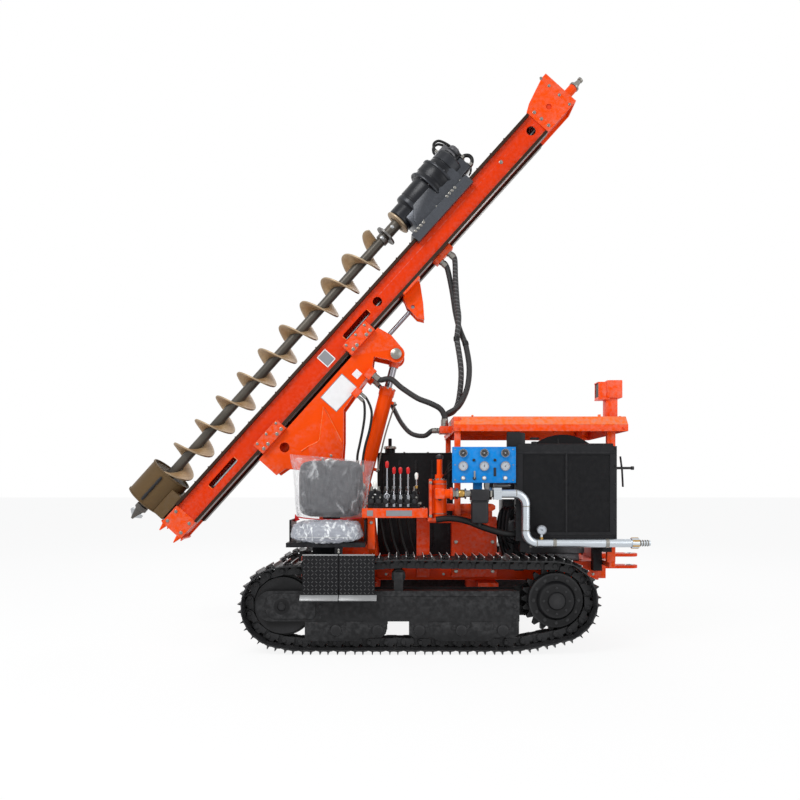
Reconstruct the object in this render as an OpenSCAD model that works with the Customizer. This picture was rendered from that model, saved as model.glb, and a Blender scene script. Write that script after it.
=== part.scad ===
// Crawler pile driver rig: a leaning mast with a rotary head and auger on a tracked carrier.
// Frame: millimetres, +Z up, -X towards the mast foot, +X towards the engine end, -Y towards the seat.
// The origin is on the ground, under the middle of the whole machine.

/* [Mast] */
// Angle between the mast and the ground as parked
mast_lean = 48; // [44:1:52]
// Length of the mast beam
mast_len = 4250; // [3900:10:4500]
// Width of the mast beam across the machine
mast_w = 210; // [190:2:230]
// Depth of the mast beam without its rails
mast_d = 160; // [140:2:180]
// Plate thickness of the mast beam
mast_wall = 8; // [6:1:12]
// Thickness of the guide rails
rail_t = 22; // [16:1:26]
// How far a guide rail stands out past the beam's side
rail_out = 30; // [26:1:34]
// Distance from the tilt pivot up to the mast's middle line
mast_lift = 540; // [520:5:580]
// How far the mast foot reaches below the tilt pivot, along the mast
mast_below = 1112; // [1050:2:1150]

/* [Carriage and auger] */
// Distance from the mast's middle line to the auger's axis
auger_offset = 297; // [285:1:320]
// Radius of the auger shaft
shaft_r = 35; // [28:1:40]
// Outer radius of the auger flight
flight_r = 136; // [110:1:138]
// Rise of the flight in one turn
flight_pitch = 232; // [180:4:280]
// Thickness of the flight plate
flight_t = 12; // [8:1:16]
// Inner radius of the guide casing
casing_r = 148; // [146:1:156]
// Wall of the guide casing
casing_wall = 7; // [5:1:10]
// Length of the guide casing
casing_len = 270; // [200:5:320]
// Length of the head carriage along the mast
carriage_len = 584; // [540:4:640]

/* [Tilt linkage] */
// Place of the tilt pivot along the machine
pivot_x = -387; // [-400:1:-370]
// Height of the tilt pivot
pivot_z = 1238; // [1200:2:1260]
// Place of the lift cylinder's foot pin along the machine
lift_foot_x = -165; // [-180:1:-150]
// Height of the lift cylinder's foot pin
lift_foot_z = 1075; // [1060:1:1090]
// Outer radius of the lift cylinder's barrel
lift_barrel_r = 54; // [46:1:58]
// Radius of the lift cylinder's rod
lift_rod_r = 28; // [20:1:34]
// Distance of the lift lug from the pivot, along the mast
lug_a = 914; // [900:2:930]
// Distance of the lift lug from the pivot, square to the mast
lug_b = 183; // [175:1:195]

/* [Tracks] */
// Distance between the two track centres
track_gauge = 1200; // [1120:10:1280]
// Width of the track shoes
shoe_w = 300; // [250:10:320]
// Height of the grousers
grouser_h = 22; // [16:1:28]
// Thickness of a shoe plate
shoe_t = 10; // [8:1:14]
// Height of the chain links under the shoes
link_h = 60; // [50:1:66]
// Radius of the track's link line round the idler and the sprocket
wrap_r = 253; // [245:1:260]
// Number of shoes in one track
shoe_count = 46; // [42:1:50]
// Place of the front idler along the machine
idler_x = -647; // [-680:1:-620]
// Height of the front idler's axle
idler_z = 305; // [298:1:312]
// Place of the drive sprocket along the machine
sprocket_x = 1130; // [1100:1:1160]
// Height of the drive sprocket's axle
sprocket_z = 340; // [332:1:348]
// Distance between two bottom rollers
roller_pitch = 270; // [260:1:275]

/* [Carrier] */
// Height of the chassis frame's top
frame_top = 560; // [550:2:580]
// Distance from the centre line to a chassis rail's outer face
frame_half = 330; // [300:5:360]
// Length of the canopy roof
roof_len = 1149; // [1100:5:1180]
// Height of the canopy roof's top
roof_top = 1545; // [1530:5:1560]
// Width of the cooler
cooler_w = 661; // [640:1:680]
// Height of the cooler
cooler_h = 622; // [600:1:640]
// Outer radius of the air pipe
pipe_r = 27; // [22:1:30]
// Width of the seat
seat_w = 480; // [440:5:500]

/* [Hidden] */
$fn = 48;
seat_gap = 0.3;
slide_gap = 0.4;
move_gap = 6;

// Heights of the mast above the pivot's line, square to the mast
mast_top = mast_lift + mast_d / 2;
mast_under = mast_lift - mast_d / 2;
rail_top = mast_top + rail_t;
rail_under = mast_under - rail_t;
rail_edge = mast_w / 2 + rail_out;
auger_b = mast_lift + auger_offset;
mast_end = mast_len - mast_below;

module lean() {
  translate([pivot_x, 0, pivot_z]) rotate([0, -mast_lean, 0]) children();
}
module box(low, high) {
  translate(low) cube(high - low);
}
module slab(y_low, y_high) {
  translate([0, y_high, 0]) rotate([90, 0, 0]) linear_extrude(y_high - y_low) children();
}
module bar_y(x, z, r, y_low, y_high) {
  translate([x, y_high, z]) rotate([90, 0, 0]) cylinder(r = r, h = y_high - y_low);
}
module bar_x(y, z, r, x_low, x_high) {
  translate([x_low, y, z]) rotate([0, 90, 0]) cylinder(r = r, h = x_high - x_low);
}
module bar_z(x, y, r, z_low, z_high) {
  translate([x, y, z_low]) cylinder(r = r, h = z_high - z_low);
}
// Triangles that close one ring of points, and those between n + 1 rings of m points each
function ring_fan(first, m, reverse) =
  [for (j = [1 : m - 2]) reverse ? [first, first + j + 1, first + j] : [first, first + j, first + j + 1]];
function ring_sides(n, m) = [
  for (k = [0 : n - 1], j = [0 : m - 1], half = [0, 1])
    let (a = m * k + j, b = m * k + (j + 1) % m)
    half == 0 ? [a, b, b + m] : [a, b + m, a + m]
];
module both_sides() {
  children();
  mirror([0, 1, 0]) children();
}

// Track geometry: the link line runs round these discs, anticlockwise seen from the seat side
shoe_base = shoe_t + grouser_h;
roller_r = 58;
roller_z = shoe_base + link_h + roller_r;
ground_r = roller_z - shoe_base;
first_roller_x = -297;
roller_total = 5;
ground_front_x = -563;
ground_rear_x = 873;
carrier_x = 107;
carrier_z = 495;
carrier_r = 46;
carrier_line_r = 109;
discs = [
  [idler_x, idler_z, wrap_r],
  [ground_front_x, roller_z, ground_r],
  [ground_rear_x, roller_z, ground_r],
  [sprocket_x, sprocket_z, wrap_r],
  [carrier_x, carrier_z, carrier_line_r]
];
disc_total = len(discs);
function disc(i) = discs[(i + disc_total) % disc_total];
// Angle of the outward normal of the straight run from disc i to the next one
function run_angle(i) =
  let (p = disc(i), q = disc(i + 1), dx = q[0] - p[0], dz = q[1] - p[1], d = norm([dx, dz]))
  atan2(dz, dx) - 90 + asin((p[2] - q[2]) / d);
function run_len(i) =
  let (p = disc(i), q = disc(i + 1))
  sqrt(pow(q[0] - p[0], 2) + pow(q[1] - p[1], 2) - pow(q[2] - p[2], 2));
function wrap_angle(i) = let (w = run_angle(i) - run_angle(i - 1)) w < 0 ? w + 360 : w;
function arc_len(i) = disc(i)[2] * wrap_angle(i) * PI / 180;
function leg_start(i) = i <= 0 ? 0 : leg_start(i - 1) + arc_len(i - 1) + run_len(i - 1);
loop_len = leg_start(disc_total);
link_pitch = loop_len / shoe_count;
function unit(a) = [cos(a), sin(a)];
function on_leg(i, s) =
  let (c = disc(i), a0 = run_angle(i - 1), a1 = run_angle(i), arc = arc_len(i))
  s <= arc
    ? [c[0], c[1]] + c[2] * unit(a0 + s / c[2] * 180 / PI)
    : [c[0], c[1]] + c[2] * unit(a1) + (s - arc) * unit(a1 + 90);
function leg_of(s, i = 0) = (i >= disc_total - 1 || s < leg_start(i + 1)) ? i : leg_of(s, i + 1);
function on_loop(s) = let (t = s - floor(s / loop_len) * loop_len, i = leg_of(t)) on_leg(i, t - leg_start(i));
joints_2d = [for (k = [0 : shoe_count - 1]) on_loop(k * link_pitch)];
function joint_at(k) = joints_2d[(k + shoe_count) % shoe_count];
function along(k) = let (v = joint_at(k + 1) - joint_at(k)) v / norm(v);
function outward(k) = [along(k)[1], -along(k)[0]];
function shoe_point(k, t, h) = joint_at(k) + along(k) * t * norm(joint_at(k + 1) - joint_at(k)) + outward(k) * h;
// Point at height h over joint k, on the bisector of the two links that meet there
function joint_point(k, h) =
  let (m = outward(k) + outward(k - 1), u = m / norm(m))
  joint_at(k) + u * h / (u * outward(k));
// One shoe's outline: share of the link's length, height over the link line
shoe_profile = [[0.05, 0], [0.05, 1], [0.16, 1], [0.19, 2], [0.25, 2], [0.30, 1], [0.62, 1], [0.65, 2], [0.71, 2], [0.76, 1], [0.95, 1], [0.95, 0]];
shoe_heights = [shoe_t * 0.3, shoe_t, shoe_base];
link_rail_y = 31;
link_rail_t = 28;

module shoe_band() {
  slab(-shoe_w / 2, shoe_w / 2) difference() {
    polygon([for (k = [0 : shoe_count - 1], p = shoe_profile) shoe_point(k, p[0], shoe_heights[p[1]])]);
    polygon([for (k = [0 : shoe_count - 1]) joint_point(k, 0)]);
  }
}
module link_rail() {
  slab(link_rail_y, link_rail_y + link_rail_t) difference() {
    polygon([for (k = [0 : shoe_count - 1]) joint_point(k, 2)]);
    polygon([for (k = [0 : shoe_count - 1]) joint_point(k, -link_h)]);
  }
}
module track() {
  color("#2b2b2d") {
    shoe_band();
    both_sides() link_rail();
  }
}

// Idler, sprocket and rollers roll on the links' inner faces
chord_r = sqrt(pow(wrap_r, 2) - pow(link_pitch / 2, 2)) - link_h - seat_gap;
frame_plate_t = 12;
frame_half_w = 100;
idler_axle_r = 32;
frame_low = 207;
frame_high = 405;
frame_mid = (frame_low + frame_high) / 2;
frame_nose_x = -718;
frame_tail_x = 890;
fork_x = -440;

module idler() {
  color("#303033") {
    bar_y(idler_x, idler_z, chord_r, -60, 60);
    bar_y(idler_x, idler_z, chord_r + 16, -26, 26);
    bar_y(idler_x, idler_z, 70, -frame_half_w + frame_plate_t, frame_half_w - frame_plate_t);
  }
}
tooth_total = 21;
module sprocket() {
  tip_r = chord_r + 28;
  root_r = chord_r - 6;
  color("#303033") difference() {
    union() {
      slab(-18, 18) translate([sprocket_x, sprocket_z]) polygon([
        for (k = [0 : tooth_total - 1], p = [[0, 0], [0.3, 1], [0.55, 1], [0.85, 0]])
          (p[1] == 1 ? tip_r : root_r) * unit((k + p[0]) * 360 / tooth_total)
      ]);
      bar_y(sprocket_x, sprocket_z, 178, -62, 0);
      bar_y(sprocket_x, sprocket_z, 110, -96, 88);
    }
    difference() {
      bar_y(sprocket_x, sprocket_z, 160, -70, -46);
      bar_y(sprocket_x, sprocket_z, 110, -71, -45);
    }
  }
}
module rollers() {
  color("#2a2a2c") {
    for (k = [0 : roller_total - 1]) {
      x = first_roller_x + k * roller_pitch;
      bar_y(x, roller_z, roller_r - seat_gap, -62, 62);
      bar_y(x, roller_z, 26, -frame_half_w + frame_plate_t, frame_half_w - frame_plate_t);
    }
    bar_y(carrier_x, carrier_z, carrier_r, -60, 60);
    bar_y(carrier_x, carrier_z, 16, -85, 0);
  }
}
module frame_side() {
  nose_r = (frame_high - frame_low) / 2;
  union() {
    translate([frame_nose_x, frame_mid]) circle(r = nose_r);
    translate([frame_nose_x, frame_low]) square([frame_tail_x - frame_nose_x, frame_high - frame_low]);
  }
}
guard_drop = 72;
module track_frame() {
  wall = frame_plate_t;
  color("#2d2d30") {
    for (y = [-frame_half_w, frame_half_w - wall]) slab(y, y + wall) {
      frame_side();
      for (k = [0 : roller_total - 1])
        translate([first_roller_x + k * roller_pitch - 62, frame_low - guard_drop + 20]) square([124, guard_drop]);
    }
    box([fork_x, -frame_half_w + wall, frame_low + 10], [frame_tail_x, frame_half_w - wall, frame_low + 10 + wall]);
    box([fork_x, -frame_half_w + wall, frame_high - 10 - wall], [frame_tail_x, frame_half_w - wall, frame_high - 10]);
    // Carrier roller's post and the final drive's arm
    box([carrier_x - 30, -97, frame_high - 15], [carrier_x + 30, -85, carrier_z + 30]);
    slab(frame_half_w - wall, frame_half_w) hull() {
      translate([frame_tail_x - 60, frame_mid]) circle(r = 90);
      translate([sprocket_x, sprocket_z]) circle(r = 125);
    }
  }
}

// Chassis between the tracks
frame_front_x = -480;
frame_rear_x = 1500;
frame_rail_w = 100;
frame_rail_h = 130;
cross_x = [-180, 640];
cross_w = 140;
cross_h = 150;
module chassis_frame() {
  low = frame_top - frame_rail_h;
  inner = track_gauge / 2 - frame_half_w;
  color("#d23c10") {
    both_sides() box([frame_front_x, frame_half - frame_rail_w, low], [frame_rear_x, frame_half, frame_top]);
    for (x = cross_x) {
      box([x, -inner, low - cross_h], [x + cross_w, inner, low]);
    }
    for (x = [frame_front_x, frame_rear_x - 90])
      box([x, -frame_half + frame_rail_w, low], [x + 90, frame_half - frame_rail_w, frame_top]);
    box([frame_front_x + 90, -frame_half + frame_rail_w, frame_top - 12], [frame_front_x + 460, frame_half - frame_rail_w, frame_top]);
    // Plates that carry the console, the cooler and the seat, standing on the chassis rails
    for (x = [[230, 320], [470, 780]])
      box([x[0], -frame_half - 90, low + 30], [x[1], -frame_half, 872]);
    box([320, -frame_half - 90, 830], [470, -frame_half - 76, 872]);
    box([-560, -frame_half - 70, low + 30], [-180, -frame_half, frame_top + 40]);
  }
}

stand_in = 126;
stand_t = 24;
pivot_boss_r = 84;
pivot_pin_r = 32;
lift_pin_r = 25;
pin_gap = 0.1;
gland_r = 13;
gland_y = -(stand_in + stand_t / 2);
module pivot_stand() {
  color("#e8470f") {
    both_sides() {
      slab(stand_in, stand_in + stand_t) hull() {
        translate([pivot_x, pivot_z]) circle(r = pivot_boss_r);
        translate([lift_foot_x, lift_foot_z]) circle(r = 70);
        translate([frame_front_x + 20, frame_top]) square([420, 10]);
      }
      bar_y(lift_foot_x, lift_foot_z, 44, lift_eye_y + 1, stand_in);
    }
    box([frame_front_x + 60, -stand_in, frame_top], [frame_front_x + 84, stand_in, frame_top + 330]);
  }
  color("#9a9a98") {
    bar_y(lift_foot_x, lift_foot_z, lift_pin_r - pin_gap, -stand_in, stand_in);
    bar_y(pivot_x, pivot_z, pivot_pin_r - pin_gap, -stand_in - stand_t - 14, stand_in + stand_t + 14);
    for (g = stand_glands) bar_z(g[0], gland_y, gland_r, g[1] - 95, g[1]);
  }
}

// Saddle: the tilting frame that carries the mast, drawn along and square to the mast
saddle_low_a = -320;
saddle_high_a = 968;
saddle_box_end = 712;
saddle_bottom = 221;
saddle_deck = rail_under - 28;
clamp_a = [-142, 814];
clamp_len = 250;
saddle_half = 116;
saddle_plate = 20;
module saddle_side() {
  difference() {
    union() {
      polygon([
        [saddle_low_a, saddle_deck], [saddle_low_a, 240], [-238, saddle_bottom], [-120, 60], [-60, -60],
        [60, -60], [190, 42], [361, 196], [saddle_box_end, saddle_bottom + 15],
        [saddle_box_end + 80, 290], [lug_a - 62, lug_b], [lug_a + 62, lug_b], [saddle_high_a + 24, 300], [saddle_high_a, saddle_deck]
      ]);
      circle(r = pivot_boss_r);
      translate([lug_a, lug_b]) circle(r = 62);
    }
    circle(r = pivot_pin_r);
    translate([-130, 330]) circle(r = 36);
  }
}
module saddle() {
  color("#ee4a10") lean() {
    both_sides() slab(saddle_half - saddle_plate, saddle_half) saddle_side();
    box([saddle_low_a, -saddle_half + saddle_plate, saddle_deck - 14], [saddle_high_a, saddle_half - saddle_plate, saddle_deck]);
    box([-200, -saddle_half + saddle_plate, saddle_bottom + 6], [saddle_box_end - 30, saddle_half - saddle_plate, saddle_bottom + 20]);
    for (a = clamp_a)
      box([a - clamp_len / 2, -saddle_half, saddle_deck], [a + clamp_len / 2, saddle_half, rail_under - slide_gap]);
    // Hinge tube between the stand's ears
    difference() {
      bar_y(0, 0, 48, -stand_in + 1, stand_in - 1);
      bar_y(0, 0, pivot_pin_r, -stand_in, stand_in);
    }
    both_sides() bar_y(lug_a, lug_b, lift_pin_r, lift_eye_y + 1, saddle_half + 10);
    // Hose glands on the side plates
    both_sides() box([640, saddle_half, saddle_gland_b], [725, saddle_half + 44, saddle_gland_b + 50]);
    box([480, -saddle_half - 36, thin_gland_b], [550, -saddle_half, thin_gland_b + 50]);
  }
}

clamp_plate_t = 18;
module slide_clamps() {
  y_in = rail_edge + slide_gap;
  y_out = y_in + clamp_plate_t + 3;
  color("#ee4a10") lean() both_sides() for (a = clamp_a)
    translate([a - clamp_len / 2, 0, 0]) rotate([90, 0, 90]) linear_extrude(clamp_len) polygon([
      [saddle_half, saddle_deck], [y_out, saddle_deck], [y_out, mast_under + 44], [y_in, mast_under + 44],
      [y_in, mast_under + 24], [mast_w / 2 + slide_gap, mast_under + 24], [mast_w / 2 + slide_gap, mast_under + slide_gap],
      [y_in, mast_under + slide_gap], [y_in, rail_under - slide_gap], [saddle_half, rail_under - slide_gap]
    ]);
}

slide_axis_b = 330;
slide_barrel_r = 38;
slide_rod_r = 16;
module slide_barrel() {
  color("#ee4a10") lean() difference() {
    bar_x(0, slide_axis_b, slide_barrel_r, -180, saddle_high_a + 14);
    bar_x(0, slide_axis_b, slide_rod_r + pin_gap, 280, saddle_high_a + 15);
  }
}

// Lift cylinder, from its foot pin to the saddle's lug
lug_x = pivot_x + lug_a * cos(mast_lean) - lug_b * sin(mast_lean);
lug_z = pivot_z + lug_a * sin(mast_lean) + lug_b * cos(mast_lean);
lift_len = norm([lug_x - lift_foot_x, lug_z - lift_foot_z]);
lift_angle = atan2(lug_z - lift_foot_z, lug_x - lift_foot_x);
lift_barrel_len = lift_len - 240;
lift_eye_y = 60;
module lift_frame() {
  translate([lift_foot_x, 0, lift_foot_z]) rotate([0, -lift_angle, 0]) children();
}
module lift_barrel() {
  color("#e8470f") lift_frame() difference() {
    union() {
      bar_y(0, 0, 56, -lift_eye_y, lift_eye_y);
      bar_x(0, 0, lift_barrel_r, 20, lift_barrel_len);
      bar_x(0, 0, lift_barrel_r + 4, lift_barrel_len - 60, lift_barrel_len);
      translate([150, 0, 0]) bar_z(0, 0, 12, -lift_barrel_r - 22, 0);
      translate([lift_barrel_len - 100, 0, 0]) bar_z(0, 0, 12, -lift_barrel_r - 22, 0);
    }
    bar_y(0, 0, lift_pin_r, -lift_eye_y - 1, lift_eye_y + 1);
    bar_x(0, 0, lift_rod_r + pin_gap, 120, lift_barrel_len + 1);
  }
}
module lift_rod() {
  color("#c9ccd0") lift_frame() {
    bar_x(0, 0, lift_rod_r, 250, lift_len - 30);
  }
  color("#e8470f") lift_frame() bar_y(lift_len, 0, 52, -lift_eye_y, lift_eye_y);
}

// Mast, drawn along and square to itself
slot_places = [[545, 289], [1994, 275]];
slot_half = 23;
round_hole_at = [2220, 3887];
module mast_beam() {
  inner = mast_w / 2 - mast_wall;
  color("#e8440e") lean() difference() {
    box([-mast_below, -mast_w / 2, mast_under], [mast_end, mast_w / 2, mast_top]);
    box([-mast_below - 1, -inner, mast_under + mast_wall], [mast_end + 1, inner, mast_top - mast_wall]);
    for (s = slot_places) translate([s[0] - mast_below, 0, mast_lift]) {
      slab(-mast_w, mast_w) {
        translate([-s[1] / 2 + slot_half, -slot_half]) square([s[1] - 2 * slot_half, 2 * slot_half]);
        translate([-s[1] / 2 + slot_half, 0]) circle(r = slot_half);
        translate([s[1] / 2 - slot_half, 0]) circle(r = slot_half);
      }
    }
    for (s = round_hole_at) bar_y(s - mast_below, mast_lift, 34, -mast_w, mast_w);
  }
}
chain_pitch = 50;
chain_total = 74;
module mast_rails() {
  color("#2c211d") lean() {
    both_sides() for (b = [mast_top, rail_under])
      box([-mast_below + 150, mast_w / 2 - 33, b], [mast_end - 300, rail_edge, b + rail_t]);
  }
  color("#3a3a3c") lean() translate([-mast_below + 180, 0, mast_top + 1]) linear_extrude(rail_t - 6) polygon(concat(
    [for (k = [0 : chain_total - 1], p = [[0, 20], [0.3, 20], [0.5, 13], [0.8, 13]]) [(k + p[0]) * chain_pitch, p[1]]],
    [for (k = [chain_total - 1 : -1 : 0], p = [[0.8, -13], [0.5, -13], [0.3, -20], [0, -20]]) [(k + p[0]) * chain_pitch, p[1]]]
  ));
}
head_len = 290;
module mast_head() {
  color("#f04f16") lean() {
    difference() {
      union() {
        both_sides() slab(mast_w / 2, mast_w / 2 + 10) polygon([
          [mast_end - head_len, mast_under - 20], [mast_end + 14, mast_under - 20],
          [mast_end + 14, rail_top + 96], [mast_end - 30, rail_top + 96], [mast_end - head_len + 60, rail_top + 40],
          [mast_end - head_len, rail_top + 10]
        ]);
        box([mast_end, -mast_w / 2, mast_under - 20], [mast_end + 14, mast_w / 2, rail_top + 96]);
      }
      bar_y(mast_end - 150, mast_lift + 20, 20, -mast_w, mast_w);
    }
  }
  color("#b8babd") lean() bar_x(0, mast_lift, 14, mast_end + 14, mast_end + 200);
  color("#4a4f57") lean() bar_x(0, mast_lift, 34, mast_end + 14, mast_end + 130);
}
manifold_a = 1610;
manifold_len = 170;
module hose_manifold() {
  color("#3a3b3e") lean() box([manifold_a, -66, manifold_b], [manifold_a + manifold_len, 0, mast_under]);
}
module mast_foot() {
  color("#ee4a10") lean() {
    both_sides() slab(mast_w / 2, mast_w / 2 + 12) polygon([
      [-mast_below - 16, mast_under - 12], [-mast_below + 150, mast_under - 12],
      [-mast_below + 150, mast_top + 10], [-mast_below - 16, mast_top + 10]
    ]);
    box([-mast_below - 16, -mast_w / 2, rail_under], [-mast_below, mast_w / 2, rail_top]);
    both_sides() for (b = [mast_under, mast_top - 24])
      translate([-mast_below - 16, mast_w / 2 - 16, b + 12]) rotate([0, -90, 0]) cylinder(r1 = 20, r2 = 4, h = 60);
  }
}
module guide_casing() {
  low = -mast_below;
  color("#8a7a5c") lean() difference() {
    bar_x(0, auger_b, casing_r + casing_wall, low, low + casing_len);
    bar_x(0, auger_b, casing_r, low - 1, low + casing_len + 1);
  }
  color("#3d3e42") lean() difference() {
    box([low, -120, rail_top], [low + casing_len - 60, 120, auger_b - casing_r + 40]);
    bar_x(0, auger_b, casing_r + casing_wall - 0.01, low - 1, low + casing_len + 1);
  }
}
bracket_a = 1270;
module slide_bracket() {
  color("#e8440e") lean() {
    difference() {
      both_sides() slab(40, 58) polygon([
        [bracket_a, rail_under], [bracket_a + 170, rail_under], [bracket_a + 150, 400], [bracket_a + 60, 290],
        [bracket_a - 24, 203], [bracket_a - 50, 250], [bracket_a - 40, 360]
      ]);
      bar_y(bracket_a - 10, slide_axis_b, 14, -60, 60);
    }
    box([bracket_a, -rail_edge, rail_under - 16], [bracket_a + 170, rail_edge, rail_under]);
  }
}
module slide_rod() {
  color("#c9ccd0") lean() {
    bar_x(0, slide_axis_b, slide_rod_r, 400, bracket_a - 30);
    bar_y(bracket_a - 10, slide_axis_b, 28, -39.7, 39.7);
  }
}
module feed_cylinder() {
  color("#b9bcc0") lean() {
    bar_x(0, mast_lift, 32, -mast_below + 20, 700);
    bar_x(0, mast_lift, 20, 700, mast_end - 300);
    for (a = [-mast_below + 20, 600, 1500, mast_end - 330])
      box([a, -mast_w / 2 + mast_wall, mast_lift - 60], [a + 20, mast_w / 2 - mast_wall, mast_lift + 60]);
  }
}

// Head carriage and rotary head
carriage_a = 1620;
carriage_deck = rail_top + move_gap;
module head_carriage() {
  y_in = rail_edge + slide_gap;
  y_out = y_in + 22;
  color("#26272a") lean() translate([carriage_a, 0, 0]) rotate([90, 0, 90]) linear_extrude(carriage_len) polygon([
    [-y_out, mast_top - 24], [-mast_w / 2 - slide_gap, mast_top - 24], [-mast_w / 2 - slide_gap, mast_top - slide_gap],
    [-y_in, mast_top - slide_gap], [-y_in, carriage_deck], [y_in, carriage_deck], [y_in, mast_top - slide_gap],
    [mast_w / 2 + slide_gap, mast_top - slide_gap], [mast_w / 2 + slide_gap, mast_top - 24], [y_out, mast_top - 24],
    [y_out, carriage_deck + 24], [-y_out, carriage_deck + 24]
  ]);
}
// Turned steps of the rotary head: start, end and radius along the auger's axis
head_steps = [[1673, 1771, 94], [1771, 1986, 120], [1986, 2120, 152], [2120, 2254, 128], [2254, 2327, 70]];
head_seat = carriage_deck + 24;
output_r = 41;
module rotary_head() {
  color("#2a2c30") lean() difference() {
    union() {
      for (s = head_steps) bar_x(0, auger_b, s[2], s[0], s[1]);
      box([1700, -118, head_seat], [2180, 118, auger_b - 40]);
      box([2120, -90, head_seat + 20], [2300, 90, auger_b]);
    }
    bar_x(0, auger_b, output_r + pin_gap, 1672, 1740);
  }
}
auger_low = -1284;
auger_top = 1539;
module auger_shaft() {
  color("#5a5c60") lean() {
    bar_x(0, auger_b, shaft_r, auger_low + 90, auger_top - 20);
    bar_x(0, auger_b, output_r, auger_top - 20, 1739);
    bar_x(0, auger_b, 82, auger_top - 20, auger_top - 5);
    translate([auger_low + 90, 0, auger_b]) rotate([0, -90, 0]) cylinder(r1 = shaft_r, r2 = 8, h = 90);
  }
}
flight_steps = 24;
flight_low = auger_low + 130;
flight_high = auger_top - 90;
flight_rings = floor((flight_high - flight_low) / flight_pitch * flight_steps);
flight_in = shaft_r / cos(180 / flight_steps) + seat_gap;
function ring_point(k, r, d) =
  let (w = k * 360 / flight_steps + 60)
  [flight_low + k * flight_pitch / flight_steps + d, r * cos(w), auger_b + r * sin(w)];
module auger_flight() {
  n = flight_rings;
  points = [for (k = [0 : n], p = [[flight_in, 0], [flight_r, 0], [flight_r, flight_t], [flight_in, flight_t]]) ring_point(k, p[0], p[1])];
  color("#b08a55") lean() polyhedron(points, concat(
    ring_fan(0, 4, true), ring_sides(n, 4), ring_fan(4 * n, 4, false)
  ));
}
module head_hoses() {
  color("#1c1c1e") lean() for (y = [-75, 75]) translate([2300, y, head_seat + 76])
    rotate([90, 0, 0]) rotate([0, 0, -90]) rotate_extrude(angle = 180) translate([40, 0]) circle(r = 14);
}

// Engine end
cooler_x = 876;
cooler_z = 723;
cooler_y = -640;
module cooler() {
  color("#1f2022") {
    difference() {
      box([cooler_x, cooler_y, cooler_z], [cooler_x + cooler_w, cooler_y + 80, cooler_z + cooler_h]);
      box([cooler_x + 45, cooler_y - 1, cooler_z + 60], [cooler_x + cooler_w - 45, cooler_y + 12, cooler_z + cooler_h - 55]);
    }
    for (x = [cooler_x + 30, cooler_x + cooler_w - 90]) {
      box([x, cooler_y + 10, frame_top + 90], [x + 60, cooler_y + 70, cooler_z]);
      box([x, cooler_y + 10, frame_top + 90], [x + 60, -frame_half, frame_top + 125]);
      box([x, -frame_half - 60, frame_top - 60], [x + 60, -frame_half, frame_top + 125]);
    }
  }
}
fan_r = 290;
module fan_shroud() {
  color("#1f2022") difference() {
    union() {
      box([cooler_x + 30, cooler_y + 80, cooler_z + 30], [cooler_x + cooler_w - 30, cooler_y + 110, cooler_z + cooler_h - 20]);
      bar_y(cooler_x + cooler_w / 2, cooler_z + cooler_h / 2 + 25, fan_r + 12, cooler_y + 110, cooler_y + 180);
    }
    bar_y(cooler_x + cooler_w / 2, cooler_z + cooler_h / 2 + 25, fan_r, cooler_y + 95, cooler_y + 190);
  }
}
module engine_block() {
  color("#37383b") box([830, -330, frame_top], [1430, 260, 1180]);
}
roof_x = 472;
roof_low_y = -610;
roof_high_y = 420;
module canopy() {
  color("#f2581c") {
    difference() {
      box([roof_x, roof_low_y, roof_top - 100], [roof_x + roof_len, roof_high_y, roof_top]);
      box([roof_x + 5, roof_low_y + 5, roof_top - 101], [roof_x + roof_len - 5, roof_high_y - 5, roof_top - 5]);
    }
    // Posts: the near front one stands on an arm off the deck plate, the others on the chassis rails
    post(roof_x + 6, roof_low_y + 20, 850);
    box([roof_x + 6, roof_low_y + 20, 850], [roof_x + 46, -frame_half - 90, 872]);
    post(roof_x + 6, roof_high_y - 60, frame_top - 35);
    box([roof_x + 6, frame_half, frame_top - 35], [roof_x + 46, roof_high_y - 20, frame_top]);
    post(rear_post_x, rear_post_y, frame_top - 20);
    post(rear_post_x, -rear_post_y - 40 - 150, frame_top - 20);
    box([rear_post_x, rear_post_y, frame_top - 20], [rear_post_x + 40, -frame_half + 90, frame_top + 15]);
    box([rear_post_x, frame_half - 90, frame_top - 20], [rear_post_x + 40, -rear_post_y - 150, frame_top + 15]);
    both_sides() box([frame_rear_x, frame_half - 90, frame_top - 120], [rear_post_x + 40, frame_half - 5, frame_top + 15]);
  }
}
rear_post_x = 1511;
rear_post_y = cooler_y + 85;
module post(x, y, z) {
  box([x, y, z], [x + 40, y + 40, roof_top - 5]);
}
block_x = 395;
block_z = 1500;
module hose_block() {
  color("#f2581c") box([block_x, -340, roof_top - 95], [roof_x + 5, -180, block_z]);
}
module exhaust_stack() {
  color("#f04f16") {
    box([1520, -440, roof_top], [1600, -360, 1690]);
    box([1540, -460, 1680], [1650, -340, 1849]);
    box([1482, -445, 1680], [1540, -355, 1840]);
  }
}
panel_x = 458;
panel_z = 1103;
panel_w = 414;
panel_h = 236;
module gauge_panel() {
  color("#1668c0") {
    box([panel_x, -664, panel_z], [panel_x + panel_w, -634, panel_z + panel_h]);
    box([panel_x + 142, -634, panel_z], [panel_x + 202, -574, panel_z + 12]);
    box([panel_x + 142, -600, 872], [panel_x + 202, -574, panel_z]);
    box([panel_x + 142, -600, 872], [panel_x + 202, -frame_half - 60, 884]);
  }
  color("#d8dadc") for (x = [70, 207, 344], z = [110, 195])
    bar_y(panel_x + x, panel_z + z, 30, -680, -664);
}
module console() {
  color("#ee4a10") {
    box([-135, -600, 872], [301, -420, 936]);
    box([-100, -560, frame_top + 100], [-50, -500, 872]);
    box([-100, -560, frame_top + 100], [-50, -frame_half, frame_top + 140]);
    box([-100, -frame_half - 40, frame_top - 40], [-50, -frame_half, frame_top + 140]);
  }
}
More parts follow.
